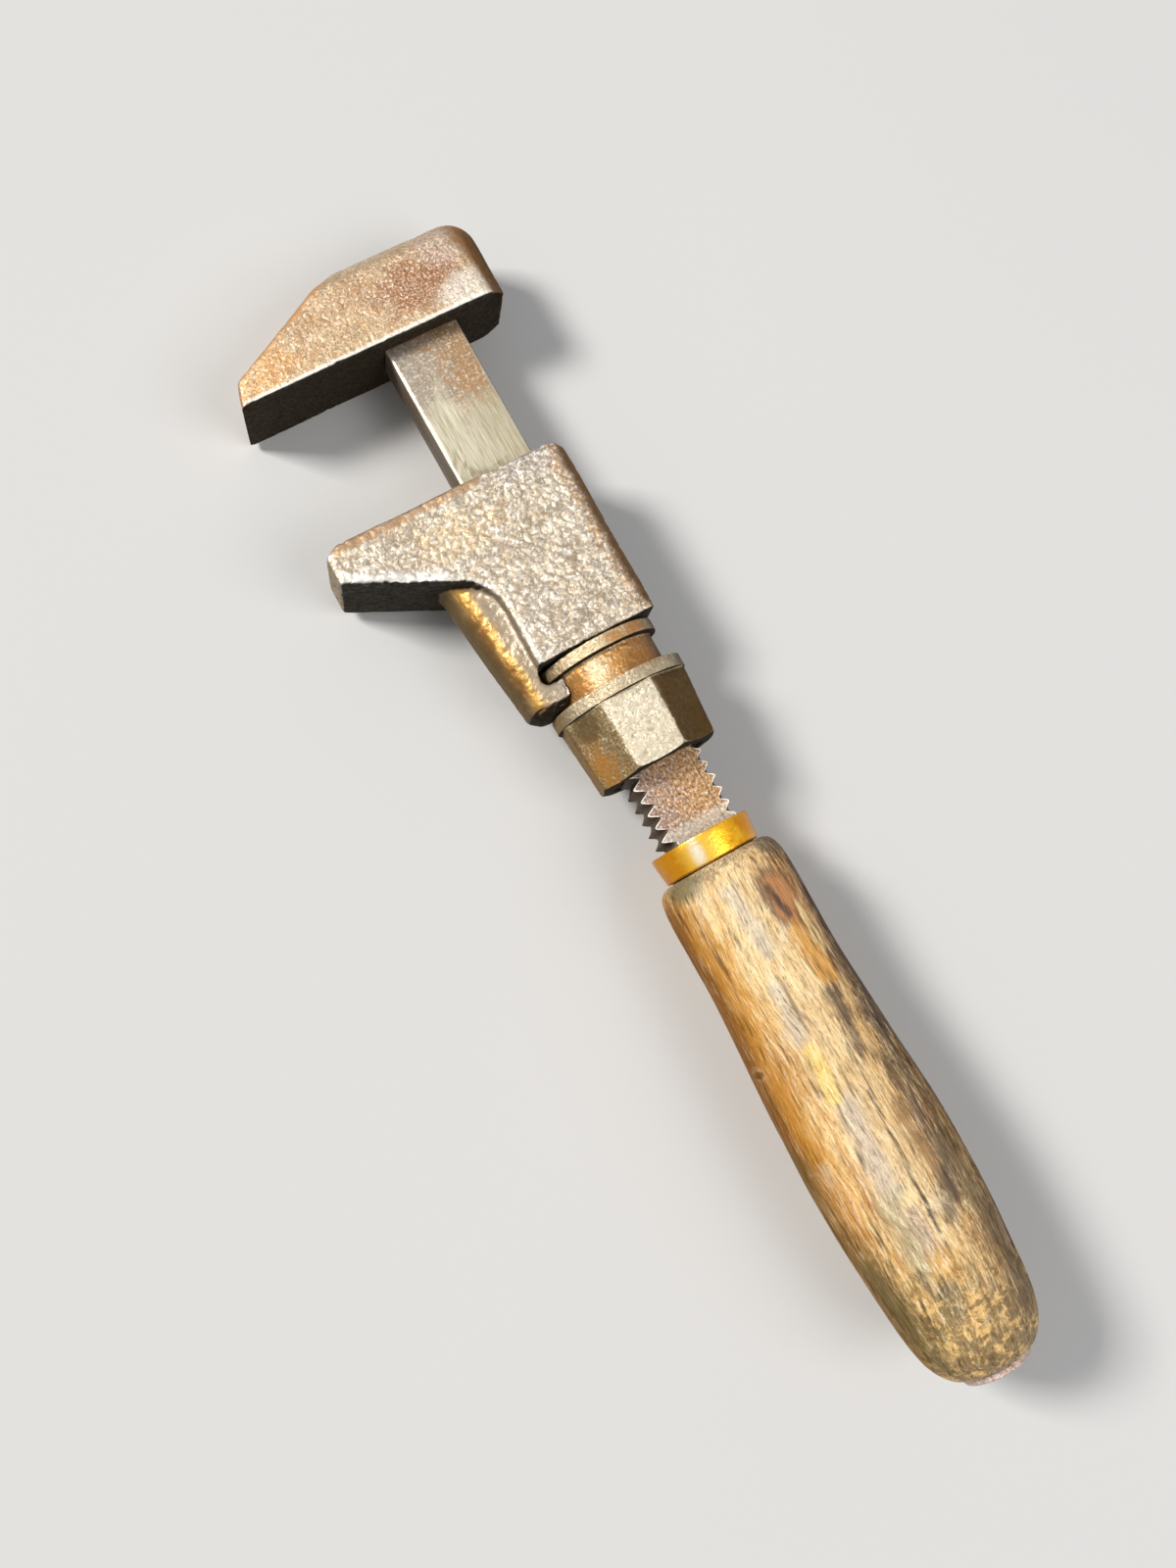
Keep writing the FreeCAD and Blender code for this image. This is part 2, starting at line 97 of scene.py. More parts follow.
class Graph:
    """A thin writer of node trees: each method adds a node and returns what it gives."""

    def __init__(self, tree: bpy.types.NodeTree) -> None:
        """Starts on a tree and empties it."""
        self.tree = tree
        tree.nodes.clear()

    def node(self, kind: str, inputs: dict[Any, Value], **settings: Value) -> bpy.types.Node:
        """Adds a node.

        Args:
            kind: the node's type name.
            inputs: terms to link and constants to set, by the input's name or place; None leaves one.
            settings: attributes to set on the node.

        Returns:
            The new node.
        """
        made = self.tree.nodes.new(kind)
        for name, value in settings.items():
            setattr(made, name, value)
        for name, value in inputs.items():
            if isinstance(value, Term):
                self.tree.links.new(value.socket, made.inputs[name])
            elif value is not None:
                is_colour = made.inputs[name].type == "RGBA" and len(value) == 3
                made.inputs[name].default_value = (*value, 1.0) if is_colour else value
        return made

    def fill(self, kind: str, output: int | str, inputs: dict[Any, Value], **settings: Value) -> Term:
        """Adds a node and reads one of its outputs; see node."""
        return Term(self, self.node(kind, inputs, **settings).outputs[output])

    def read(self, kind: str, output: int | str = 0, *values: Value, **settings: Value) -> Term:
        """Adds a node, gives it its inputs in order and reads one of its outputs; see node."""
        return self.fill(kind, output, dict(enumerate(values)), **settings)

    def math(self, operation: str, *values: Value) -> Term:
        """A Math node, such as "ADD"."""
        return self.read("ShaderNodeMath", 0, *values, operation=operation)

    def vector(self, operation: str, *values: Value) -> Term:
        """A Vector Math node, such as "ADD", with the vector or the number that it gives."""
        output = int(operation in ("LENGTH", "DOT_PRODUCT", "DISTANCE"))
        return self.read("ShaderNodeVectorMath", output, *values, operation=operation)

    def point(self, x: Value, y: Value, z: Value) -> Term:
        """A vector made of three numbers."""
        return self.read("ShaderNodeCombineXYZ", 0, x, y, z)

    def same(self, value: Value) -> Term:
        """A vector whose three parts are one number."""
        return self.point(value, value, value)

    def parts(self, vector: Term) -> list[Term]:
        """The three numbers of a vector."""
        return [Term(self, part) for part in self.node("ShaderNodeSeparateXYZ", {0: vector}).outputs]

    def facing(self) -> Term:
        """The way that the surface faces."""
        return self.read("ShaderNodeTexCoord", "Normal")

    def carried(self, which: Field) -> Term:
        """A value that the mesh carries."""
        names = {"attribute_type": "GEOMETRY", "attribute_name": which.value}
        return self.read("ShaderNodeAttribute", "Fac", **names)

    def highest(self, values: Iterable[Value]) -> Value:
        """The highest of some values, or 0."""
        return reduce(lambda a, b: self.math("MAXIMUM", a, b), values, 0.0)

    def noise(
        self, scale: Value, detail: float, roughness: float, at: Term, distortion: float = 0.0
    ) -> Term:
        """A Noise Texture's value, spread to fill about 0 to 1.

        Args:
            scale: cells per metre.
            detail: octaves.
            roughness: weight of the finer octaves.
            at: where it is read.
            distortion: how far it is warped.

        Returns:
            The value.
        """
        names = ("Vector", "Scale", "Detail", "Roughness", "Distortion")
        inputs = dict(zip(names, (at, scale, detail, roughness, distortion)))
        return self.span(self.fill("ShaderNodeTexNoise", 0, inputs), *NOISE_RANGE)

    def stretched(self, scale: float, detail: float, roughness: float, at: Term, by: Point) -> Term:
        """Noise whose cells are drawn out by the inverse of three factors; see noise."""
        return self.noise(scale, detail, roughness, self.vector("MULTIPLY", at, by))

    def cells(self, scale: Value, at: Term, smooth: float) -> Term:
        """The distance to the nearest Voronoi cell, smoothed, with so many cells per metre."""
        inputs = {"Vector": at, "Scale": scale, "Smoothness": smooth}
        return self.fill("ShaderNodeTexVoronoi", "Distance", inputs, feature="SMOOTH_F1")

    def span(self, value: Term, low: float, high: float) -> Term:
        """Maps a range to 0 to 1 and clamps it; the range may run down."""
        return self.read("ShaderNodeMapRange", 0, value, low, high)

    def ease(self, value: Term, low: float, high: float) -> Term:
        """Maps a range to 0 to 1 with eased ends; the range may run down."""
        return self.read("ShaderNodeMapRange", 0, value, low, high, interpolation_type="SMOOTHSTEP")

    def mix(self, share: Term, low: Value, high: Value) -> Term:
        """Mixes two colours: a share of 0 gives the first, 1 the second."""
        return self.fill("ShaderNodeMix", 2, {0: share, 6: low, 7: high}, data_type="RGBA")

    def blend(self, share: Value, low: Value, high: Value) -> Term:
        """Mixes two numbers: a share of 0 gives the first, 1 the second."""
        return self.fill("ShaderNodeMix", 0, {0: share, 2: low, 3: high}, data_type="FLOAT")

    def ramp(self, value: Term, stops: Stops) -> Term:
        """A colour ramp.

        Args:
            value: where on the ramp.
            stops: places and colours, in order.

        Returns:
            The colour.
        """
        made = self.node("ShaderNodeValToRGB", {0: value})
        bar = made.color_ramp.elements
        while len(bar) < len(stops):
            bar.new(0.5)
        for stop, (place, colour) in zip(bar, stops):
            stop.position, stop.color = place, (*colour, 1.0)
        return Term(self, made.outputs[0])

    def rim(self, reach: Term, edge: Term, soft: float, fray: float) -> Term:
        """Turns a distance in radii into a mask whose soft rim is frayed by a noise."""
        return 1.0 - self.ease(reach + (edge - 0.5) * fray, 1.0 - soft, 1.0 + soft)

    def lay(
        self, marks: Sequence["Mark"], at: Term, edge: Term, colour: Term, seen: Value = None
    ) -> tuple[Term, list[Term]]:
        """Lays marks over a colour.

        Args:
            marks: the marks, lowest first.
            at: object coordinates in metres.
            edge: a noise that frays or thins them.
            colour: the colour so far.
            seen: how much of them is seen, or None for all.

        Returns:
            The colour, and the marks' masks.
        """
        masks = []
        for mark in marks:
            masks.append(mark.mask(self, at, edge))
            colour = self.mix(masks[-1] if seen is None else masks[-1] * seen, colour, mark.colour)
        return colour, masks


def painted(name: str, write: Callable[[Graph, Term], dict[str, Value]]) -> Material:
    """Builds a material.

    Args:
        name: its name.
        write: writes its tree and gives the shader's inputs, with "Height" and "Depth" for a relief.

    Returns:
        The material.
    """
    made = bpy.data.materials.new(name)
    made.use_nodes = True
    g = Graph(made.node_tree)
    values = write(g, g.read("ShaderNodeTexCoord", "Object"))
    if "Height" in values:
        bump = {"Strength": 1.0, "Distance": values.pop("Depth"), "Height": values.pop("Height")}
        values["Normal"] = g.fill("ShaderNodeBump", 0, bump)
    g.node("ShaderNodeOutputMaterial", {0: g.fill("ShaderNodeBsdfPrincipled", 0, values)})
    return made


# ---- Marks and finishes ----


@dataclass(frozen=True)
class StainOrPaintedLight:
    """A coloured patch on a surface: a stain, and in places a painted highlight or painted shade; an
    ellipsoid with a frayed rim.
    """

    centre: Point
    radii: Point
    colour: Colour
    share: float = 0.8
    soft: float = 0.5
    fray: float = 0.9

    def mask(self, g: Graph, at: Term, edge: Term) -> Term:
        """Where the patch lies.

        Args:
            g: the material's tree.
            at: object coordinates in metres.
            edge: a noise that frays its rim.

        Returns:
            The mask.
        """
        moved = g.vector("SUBTRACT", at, tuple(c * MM for c in self.centre))
        scaled = g.vector("MULTIPLY", moved, tuple(1.0 / (r * MM) for r in self.radii))
        return g.rim(g.vector("LENGTH", scaled), edge, self.soft, self.fray) * self.share


@dataclass(frozen=True)
class Streak:
    """A coloured band along a straight line, with a frayed rim."""

    start: Point
    end: Point
    radius: float
    colour: Colour
    share: float = 0.8
    soft: float = 0.5
    fray: float = 0.9

    def mask(self, g: Graph, at: Term, edge: Term) -> Term:
        """Where the band lies; see Stain.mask."""
        line = Vector(self.end) - Vector(self.start)
        moved = g.vector("SUBTRACT", at, tuple(c * MM for c in self.start))
        along = g.vector("DOT_PRODUCT", moved, tuple(line / line.length_squared / MM))
        along = g.math("MAXIMUM", g.math("MINIMUM", along, 1.0), 0.0)
        nearest = g.vector("MULTIPLY", g.same(along), tuple(line * MM))
        reach = g.vector("LENGTH", g.vector("SUBTRACT", moved, nearest)) * (1.0 / (self.radius * MM))
        return g.rim(reach, edge, self.soft, self.fray) * self.share


@dataclass(frozen=True)
class PaintedFacing:
    """Painted shade on the faces that look one way, or a painted highlight where its colour is pale."""

    facing: Point
    colour: Colour
    share: float = 0.6
    onset: Pair = (0.3, 0.8)
    below: float | None = None
    clean: bool = False

    def mask(self, g: Graph, at: Term, edge: Term) -> Term:
        """Where the colour lies, below a height if one is given; see Stain.mask."""
        mask = g.ease(g.vector("DOT_PRODUCT", g.facing(), self.facing), *self.onset) * self.share
        if self.below is not None:
            top = self.below * MM
            mask = mask * g.span(g.parts(at)[1], top, top - 0.3 * MM)
        return mask * g.blend(edge, 1.0, 0.92)


Mark = StainOrPaintedLight | Streak | PaintedFacing


@dataclass(frozen=True)
class Finish:
    """What every finish shares: a name, its marks and the way its material is built.

    The marks (stains, and painted highlights and shade) lie under the finest grain of the surface or over
    it.
    """

    name: str
    under: tuple[StainOrPaintedLight | Streak, ...] = ()
    over: tuple[StainOrPaintedLight | Streak, ...] = ()

    def write(self, g: Graph, at: Term) -> dict[str, Value]:
        """Writes the colour, roughness and so on of the finish.

        Args:
            g: the material's tree.
            at: object coordinates in metres.

        Returns:
            Values for the shader's inputs, with "Height" and "Depth" for the relief.
        """
        raise NotImplementedError

    def material(self) -> Material:
        """Builds the material."""
        made = painted(self.name, self.write)
        made.diffuse_color = VIEWPORT_COLOUR
        return made


@dataclass(frozen=True)
class ForgedSteel(Finish):
    """Rusted and handled forged steel: brown patina, dark pits, silvery flecks, bright worn edges."""

    dark: Colour = (0.14, 0.08, 0.04)
    middle: Colour = (0.50, 0.34, 0.18)
    light: Colour = (0.72, 0.57, 0.38)
    bright: Colour = (0.96, 0.92, 0.82)
    rust: Colour = (0.50, 0.24, 0.09)
    worn: Colour = (0.97, 0.94, 0.87)
    rust_share: float = 0.55
    dark_share: float = 0.75
    bright_share: float = 0.75
    worn_share: float = 0.85
    grain: float = 1500.0
    blotch: float = 130.0
    rough: Pair = (0.28, 0.55)
    relief: float = 0.6
    depth: float = 0.00022
    painted_facings: tuple[PaintedFacing, ...] = ()

    def write(self, g: Graph, at: Term) -> dict[str, Value]:
        """Writes the finish; see Finish.write."""
        # Fine specks and flecks, slow blotches, and swollen scabs with grooves round them.
        speck = g.noise(self.grain, 4.0, 0.7, at)
        fleck = g.noise(self.grain * 1.35, 3.0, 0.7, g.vector("ADD", at, (0.3, 0.1, 0.2)))
        blotch = g.noise(self.blotch, 5.0, 0.65, at, 0.8)
        bloom = g.noise(self.grain * 0.28, 5.0, 0.75, g.vector("ADD", at, (0.7, 0.4, 0.9)), 0.5)
        warp = g.vector("MULTIPLY", g.same(bloom), (0.0012, -0.0009, 0.0010))
        swell = g.cells(self.grain * 0.58, g.vector("ADD", at, warp), 0.25)
        groove = g.ease(swell, 0.40, 0.62) * g.blend(bloom, 1.0, 0.3)
        # Patina, rust and worn edges, with what lies under the grain: stains, painted highlights, and the
        # painted light of the faces laid under the specks.
        colour = g.mix(g.blend(speck, blotch, blotch + 0.4), self.middle, self.light)
        colour = g.mix(g.span(bloom, 0.42, 0.78) * self.rust_share, colour, self.rust)
        edge = g.ease(g.carried(Field.WEAR), 0.12, 0.7) * g.blend(speck, 0.55, 1.0) * self.worn_share
        colour = g.mix(edge, colour, self.worn)
        colour, _ = g.lay(self.under, at, blotch, colour, g.blend(fleck, 1.0, 0.6))
        colour, _ = g.lay([c for c in self.painted_facings if c.clean], at, speck, colour)
        # Dark pits, bright flecks (partly bare steel, partly painted glints), then what lies over them:
        # stains and painted shade.
        low = g.math("MAXIMUM", g.span(speck, 0.42, 0.08), g.carried(Field.PIT) * 0.7)
        low = g.math("MAXIMUM", low, groove * self.relief) * g.blend(edge, self.dark_share, 0.2)
        colour = g.mix(low, colour, self.dark)
        high = g.span(fleck, 0.52, 0.84) * g.blend(blotch, 0.55, 1.0)
        colour = g.mix(high * self.bright_share, colour, self.bright)
        colour, coats = g.lay(self.over, at, blotch, colour, g.blend(speck, 0.88, 1.0))
        colour, painted_facings = g.lay([c for c in self.painted_facings if not c.clean], at, speck, colour)
        painted_shade = g.highest(painted_facings)
        rough = g.blend(edge, g.blend(fleck, self.rough[1], self.rough[0]), 0.28)
        height = speck * 0.35 + fleck * 0.25 + g.ease(swell, 0.75, 0.05) * self.relief
        return {
            "Base Color": colour,
            "Roughness": g.blend(painted_shade, rough, 0.75),
            "Metallic": g.blend(painted_shade, 0.7, 0.2),
            "Specular IOR Level": g.blend(painted_shade, 0.5, 0.06),
            "Height": height * g.blend(g.highest(coats), 1.0, 0.3),
            "Depth": self.depth,
        }


@dataclass(frozen=True)
class DrawnSteel(Finish):
    """The bar: polished by the sliding jaw, brown near the head, rusty between the teeth.

    The pairs of places are heights in metres between which one look gives way to the next.
    """

    silver: tuple[Colour, Colour] = ((0.40, 0.34, 0.21), (0.90, 0.84, 0.67))
    shaded: Colour = (0.36, 0.29, 0.16)
    scored: Colour = (0.42, 0.34, 0.20)
    ring: Colour = (0.24, 0.185, 0.095)
    brown: tuple[Colour, Colour] = ((0.42, 0.345, 0.28), (0.44, 0.24, 0.10))
    brown_low: Colour = (0.22, 0.13, 0.065)
    brown_pit: Colour = (0.14, 0.08, 0.04)
    brown_fleck: Colour = (0.95, 0.88, 0.76)
    rust: Stops = (
        (0.12, (0.10, 0.05, 0.025)),
        (0.42, (0.36, 0.19, 0.08)),
        (0.66, (0.56, 0.36, 0.19)),
        (0.92, (1.0, 0.90, 0.76)),
    )
    lilac: Stops = (
        (0.12, (0.08, 0.048, 0.035)),
        (0.42, (0.29, 0.18, 0.125)),
        (0.66, (0.48, 0.36, 0.29)),
        (0.92, (1.0, 0.94, 0.87)),
    )
    rubbed: tuple[Colour, Colour] = ((0.36, 0.30, 0.22), (0.94, 0.90, 0.82))
    worn: tuple[Colour, Colour] = ((0.66, 0.61, 0.50), (0.96, 0.93, 0.86))
    painted_shade: Colour = (0.060, 0.038, 0.022)
    patina_ends: Pair = (-0.021, -0.0085)
    ring_ends: Pair = (-0.0285, -0.0335)
    rust_ends: Pair = (-0.0895, -0.0945)
    rubbed_ends: Pair = (-0.1095, -0.1115)

    def write(self, g: Graph, at: Term) -> dict[str, Value]:
        """Writes the finish; see Finish.write."""
        # The scratches and streaks are drawn out along the bar.
        across, place, _ = g.parts(at)
        drawn = (1.0, 0.045, 1.0)
        scratch = g.stretched(3200.0, 3.0, 0.7, at, drawn)
        streak = g.stretched(700.0, 3.0, 0.6, at, drawn)
        cloud = g.noise(95.0, 4.0, 0.6, at, 0.8)
        mottle = g.noise(420.0, 4.0, 0.65, at, 0.5)
        grain = g.stretched(1900.0, 4.0, 0.75, at, (1.0, 0.7, 1.0))
        fleck = g.noise(2000.0, 3.0, 0.7, g.vector("ADD", at, (0.2, 0.5, 0.1)))
        rightward = across + (mottle - 0.5) * 0.012
        low = place + (cloud - 0.5) * 0.016
        # Polished steel, the brown patina above it, and the rust between the teeth below.
        silver = g.mix(scratch, *self.silver)
        silver = g.mix(g.ease(across, -0.003, 0.006) * g.blend(mottle, 0.5, 0.25), silver, self.shaded)
        silver = g.mix(g.span(streak, 0.35, 0.05) * 0.6, silver, self.scored)
        silver = g.mix(g.ease(low, *self.ring_ends) * g.blend(mottle, 0.9, 0.3), silver, self.ring)
        brown = g.mix(g.span(rightward, -0.004, 0.004), *self.brown)
        brown = g.mix(g.span(mottle, 0.5, 0.15) * 0.6, brown, self.brown_low)
        brown = g.mix(g.span(grain, 0.42, 0.1) * 0.75, brown, self.brown_pit)
        # The pale flecks on the brown patina are painted glints.
        brown = g.mix(g.span(fleck, 0.55, 0.85) * 0.75, brown, self.brown_fleck)
        colour = g.mix(g.ease(low, *self.patina_ends) * g.blend(mottle, 0.75, 1.0), silver, brown)
        rust, lilac = g.ramp(grain, self.rust), g.ramp(grain, self.lilac)
        rust = g.mix(g.span(rightward, 0.001, -0.004), rust, lilac)
        rust = g.mix(g.ease(place, *self.rubbed_ends) * 0.6, rust, g.mix(grain, *self.rubbed))
        below = g.ease(place + (mottle - 0.5) * 0.008, *self.rust_ends)
        colour = g.mix(below, colour, rust)
        # Worn edges, and painted shade on the faces that don't look out of the front or back.
        level = g.ease(g.math("ABSOLUTE", g.parts(g.facing())[2]), 0.45, 0.85)
        edge = g.ease(g.carried(Field.WEAR), 0.12, 0.6) * g.blend(grain, 0.6, 1.0)
        edge = edge * g.blend(below, g.blend(level, 0.25, 0.9), level)
        colour = g.mix(edge, colour, g.mix(below, *self.worn))
        painted_shade = (1.0 - level) * g.blend(below, g.blend(streak, 0.96, 0.82), 0.93) * (1.0 - edge)
        rough = g.blend(below, g.blend(streak, 0.24, 0.4), g.blend(grain, 0.6, 0.36))
        return {
            "Base Color": g.mix(painted_shade, colour, self.painted_shade),
            "Roughness": g.blend(painted_shade, g.blend(edge, rough, 0.45), 0.6),
            "Metallic": g.blend(painted_shade, 0.65, 0.25),
            "Specular IOR Level": g.blend(painted_shade, 0.5, 0.12),
            "Height": g.blend(below, scratch * 0.3, grain),
            "Depth": 0.00008,
        }


@dataclass(frozen=True)
class AgedBrass(Finish):
    """Golden brass, darkened in its dents and rubbed bright at its rim."""

    gold: Stops = ((0.1, (0.66, 0.27, 0.006)), (0.5, (0.93, 0.48, 0.020)), (0.9, (1.0, 0.64, 0.10)))
    dent: Colour = (0.28, 0.11, 0.01)
    worn: Colour = (1.0, 0.80, 0.36)

    def write(self, g: Graph, at: Term) -> dict[str, Value]:
        """Writes the finish; see Finish.write."""
        cloud = g.noise(300.0, 4.0, 0.6, at)
        speck = g.noise(1900.0, 3.0, 0.65, at)
        colour, _ = g.lay(self.under, at, cloud, g.ramp(g.blend(0.35, cloud, speck), self.gold))
        colour = g.mix(g.span(speck, 0.3, 0.0) * 0.5, colour, self.dent)
        colour = g.mix(g.span(g.carried(Field.WEAR), 0.2, 0.8) * 0.45, colour, self.worn)
        return {
            "Base Color": colour,
            "Roughness": g.blend(speck, 0.34, 0.22),
            "Metallic": 0.95,
            "Height": speck,
            "Depth": 0.00003,
        }


@dataclass(frozen=True)
class OldHardwood(Finish):
    """Worn open-grained hardwood: golden, grey where it is rubbed, dark where it is stained."""

    gold: Stops = ((0.1, (0.50, 0.23, 0.058)), (0.5, (0.82, 0.50, 0.18)), (0.9, (1.0, 0.76, 0.40)))
    warm: Colour = (0.60, 0.29, 0.075)
    rubbed: Colour = (0.80, 0.75, 0.66)
    olive: tuple[Colour, Colour] = ((0.19, 0.125, 0.040), (0.88, 0.55, 0.19))
    pale: Colour = (1.0, 0.88, 0.60)
    grain: Colour = (0.105, 0.045, 0.016)
    sides: tuple[Colour, Colour] = ((0.38, 0.155, 0.028), (0.115, 0.050, 0.016))
    pit: Colour = (0.055, 0.026, 0.014)
    olive_ends: Pair = (-0.200, -0.214)

    def write(self, g: Graph, at: Term) -> dict[str, Value]:
        """Writes the finish; see Finish.write."""
        # The grain is drawn out along the handle and wavers a little.
        across, place, _ = g.parts(at)
        off_centre = g.math("ABSOLUTE", across)
        warp = g.noise(24.0, 2.0, 0.5, at)
        bent = g.vector("ADD", at, g.vector("MULTIPLY", g.same(warp), (0.004, 0.0, 0.004)))
        fibre = g.stretched(2100.0, 4.0, 0.7, bent, (1.0, 0.10, 1.0))
        pore = g.stretched(3400.0, 3.0, 0.75, bent, (1.0, 0.17, 1.0))
        ring = g.stretched(420.0, 5.0, 0.68, bent, (1.0, 0.11, 1.0))
        cloud = g.noise(85.0, 4.0, 0.6, g.vector("MULTIPLY", at, (1.0, 0.4, 1.0)), 0.6)
        patchy = g.noise(260.0, 5.0, 0.7, g.vector("MULTIPLY", at, (1.0, 0.45, 1.0)), 0.8)
        crumb = g.noise(260.0, 8.0, 0.80, g.vector("MULTIPLY", at, (1.0, 1.2, 1.0)), 0.5)
        fray = g.blend(0.45, patchy, fibre)
        # Bare wood with warm and rubbed patches, the stains, painted highlight and painted sheen under the
        # grain, and the butt's olive.
        colour = g.mix(g.span(cloud, 0.55, 0.15) * 0.55, g.ramp(ring, self.gold), self.warm)
        colour = g.mix(g.ease(cloud, 0.62, 0.95) * g.blend(fibre, 0.2, 0.7), colour, self.rubbed)
        colour, _ = g.lay(self.under, at, fray, colour)
        end = g.ease(place + (fray - 0.5) * 0.03, *self.olive_ends)
        colour = g.mix(end * 0.85, colour, g.mix(g.ease(crumb, 0.46, 0.66), *self.olive))
        # Pale and dark fibres, the darker sides (partly the wood's own tone, partly painted shade), and the
        # stains and painted shade over the grain.
        colour = g.mix(g.span(fibre, 0.54, 0.80) * g.blend(end, 0.65, 0.3), colour, self.pale)
        deep = g.span(fibre, 0.44, 0.06) * g.blend(end, 0.8, 0.5)
        deep = g.math("MAXIMUM", deep, g.span(pore, 0.40, 0.08) * 0.75)
        colour = g.mix(deep, colour, self.grain)
        side = g.mix(g.span(across, -0.001, 0.001), *self.sides)
        colour = g.mix(g.ease(off_centre, 0.0095, 0.0145) * 0.55, colour, side)
        colour, _ = g.lay(self.over, at, fray, colour)
        return {
            "Base Color": g.mix(g.carried(Field.PIT) * 0.7, colour, self.pit),
            "Roughness": g.blend(fibre, 0.50, 0.30),
            "Specular IOR Level": g.blend(g.span(off_centre, 0.006, 0.012), 0.5, 0.03),
            "Height": fibre * 0.5 + pore * 0.3 + ring * 1.2,
            "Depth": 0.00030,
        }


# ---- Mesh helpers ----


def mesh_arrays(mesh: Mesh) -> tuple[np.ndarray, np.ndarray, np.ndarray]:
    """Reads a mesh.

    Args:
        mesh: the mesh.

    Returns:
        Its points, their normals and its edges.
    """
    points, normals = np.empty((2, len(mesh.vertices) * 3))
    edges = np.empty(len(mesh.edges) * 2, dtype=np.int64)
    mesh.vertices.foreach_get("co", points)
    mesh.vertex_normals.foreach_get("vector", normals)
    mesh.edges.foreach_get("vertices", edges)
    return points.reshape(-1, 3), normals.reshape(-1, 3), edges.reshape(-1, 2)


def store_points(mesh: Mesh, points: np.ndarray) -> None:
    """Moves a mesh's points."""
    mesh.vertices.foreach_set("co", points.ravel())
    mesh.update()


def spread_mean(values: np.ndarray, edges: np.ndarray) -> np.ndarray:
    """The mean of each point's neighbours.

    Args:
        values: one row for each point.
        edges: pairs of neighbours.

    Returns:
        A row for each point.
    """
    total = np.zeros(values.shape)
    for a, b in (edges.T, edges[:, ::-1].T):
        for column, row in enumerate(values.T):
            total[:, column] += np.bincount(a, weights=row[b], minlength=len(values))
    degree = np.bincount(edges.ravel(), minlength=len(values))[:, None]
    return total / np.maximum(degree, 1)


def carry(mesh: Mesh, which: Field, values: np.ndarray) -> None:
    """Stores a number on each point."""
    layer = mesh.attributes.get(which.value) or mesh.attributes.new(which.value, "FLOAT", "POINT")
    layer.data.foreach_set("value", values.astype(np.float32))


def carry_wear(mesh: Mesh, reach: float, rounds: int) -> None:
    """Stores how far each point stands out of its surroundings.

    Args:
        mesh: the mesh.
        reach: the bend, in radians for each step of the mesh, that counts as fully worn.
        rounds: how often the value is spread to its neighbours.
    """
    points, normals, edges = mesh_arrays(mesh)
    length = np.repeat(np.linalg.norm(points[edges[:, 0]] - points[edges[:, 1]], axis=1), 2)
    ends = edges.ravel()
    degree = np.maximum(np.bincount(ends, minlength=len(points)), 1)
    step = np.bincount(ends, weights=length, minlength=len(points)) / degree
    bend = ((points - spread_mean(points, edges)) * normals).sum(axis=1) / np.maximum(step, TOUCH)
    bend = bend[:, None]
    for _ in range(rounds):
        bend = 0.5 * bend + 0.5 * spread_mean(bend, edges)
    carry(mesh, Field.WEAR, np.clip(bend[:, 0] / reach, 0.0, 1.0))


def mend(mesh: Mesh, join: float = 0.0, outward: bool = False) -> Mesh:
    """Joins points that touch and turns the faces outwards.

    Args:
        mesh: the mesh.
        join: the distance at which points are joined, or 0.
        outward: whether the faces are turned.

    Returns:
        The same mesh.
    """
    work = bmesh.new()
    work.from_mesh(mesh)
    if join:
        bmesh.ops.remove_doubles(work, verts=work.verts, dist=join)
    if outward:
        bmesh.ops.recalc_face_normals(work, faces=work.faces)
    work.to_mesh(mesh)
    work.free()
    return mesh


def loft(rows: int, count: int) -> list[Sequence[int]]:
    """The faces between rows of closed rings with so many points each."""
    return [
        (row * count + i, row * count + j, (row + 1) * count + j, (row + 1) * count + i)
        for row in range(rows - 1)
        for i, j in ((i, (i + 1) % count) for i in range(count))
    ]


def new_mesh(name: str, points: np.ndarray, faces: Sequence[Sequence[int]]) -> Mesh:
    """Makes a mesh whose faces point outwards.

    Args:
        name: the mesh's name.
        points: its points in metres.
        faces: its faces.

    Returns:
        The mesh.
    """
    mesh = bpy.data.meshes.new(name)
    mesh.from_pydata([tuple(p) for p in points], [], faces)
    mesh.update()
    return mend(mesh, TOUCH, outward=True)


def show(made: Piece) -> Piece:
    """Puts an object in the scene."""
    bpy.context.scene.collection.objects.link(made)
    return made


def place(mesh: Mesh, name: str, material: Material | None = None, smooth: bool = True) -> Piece:
    """Puts a mesh in the scene.

    Args:
        mesh: the mesh.
        name: the object's name.
        material: its finish, if the mesh has none yet.
        smooth: whether its faces are shaded smoothly.

    Returns:
        The object, at the origin.
    """
    if material is not None:
        mesh.materials.clear()
        mesh.materials.append(material)
    mesh.polygons.foreach_set("use_smooth", [smooth] * len(mesh.polygons))
    return show(bpy.data.objects.new(name, mesh))


def bake(source: Piece) -> Mesh:
    """Turns an object with live modifiers into a plain mesh and removes the object.

    Args:
        source: the object.

    Returns:
        The plain mesh.
    """
    graph = bpy.context.evaluated_depsgraph_get()
    mesh = bpy.data.meshes.new_from_object(source.evaluated_get(graph), depsgraph=graph)
    bpy.data.objects.remove(source, do_unlink=True)
    return mesh


def hand_over(piece: Piece, body: str, nodes: Sequence[str]) -> None:
    """Tells the frame what a finished piece is.

    Args:
        piece: the piece.
        body: the body that it moves with.
        nodes: the frame's nodes that it stands for.
    """
    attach(piece, body)
    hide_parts(*nodes)
    LOG.info("%s: %d faces on %s", piece.name, len(piece.data.polygons), body)


# ---- Geometry Nodes trees ----


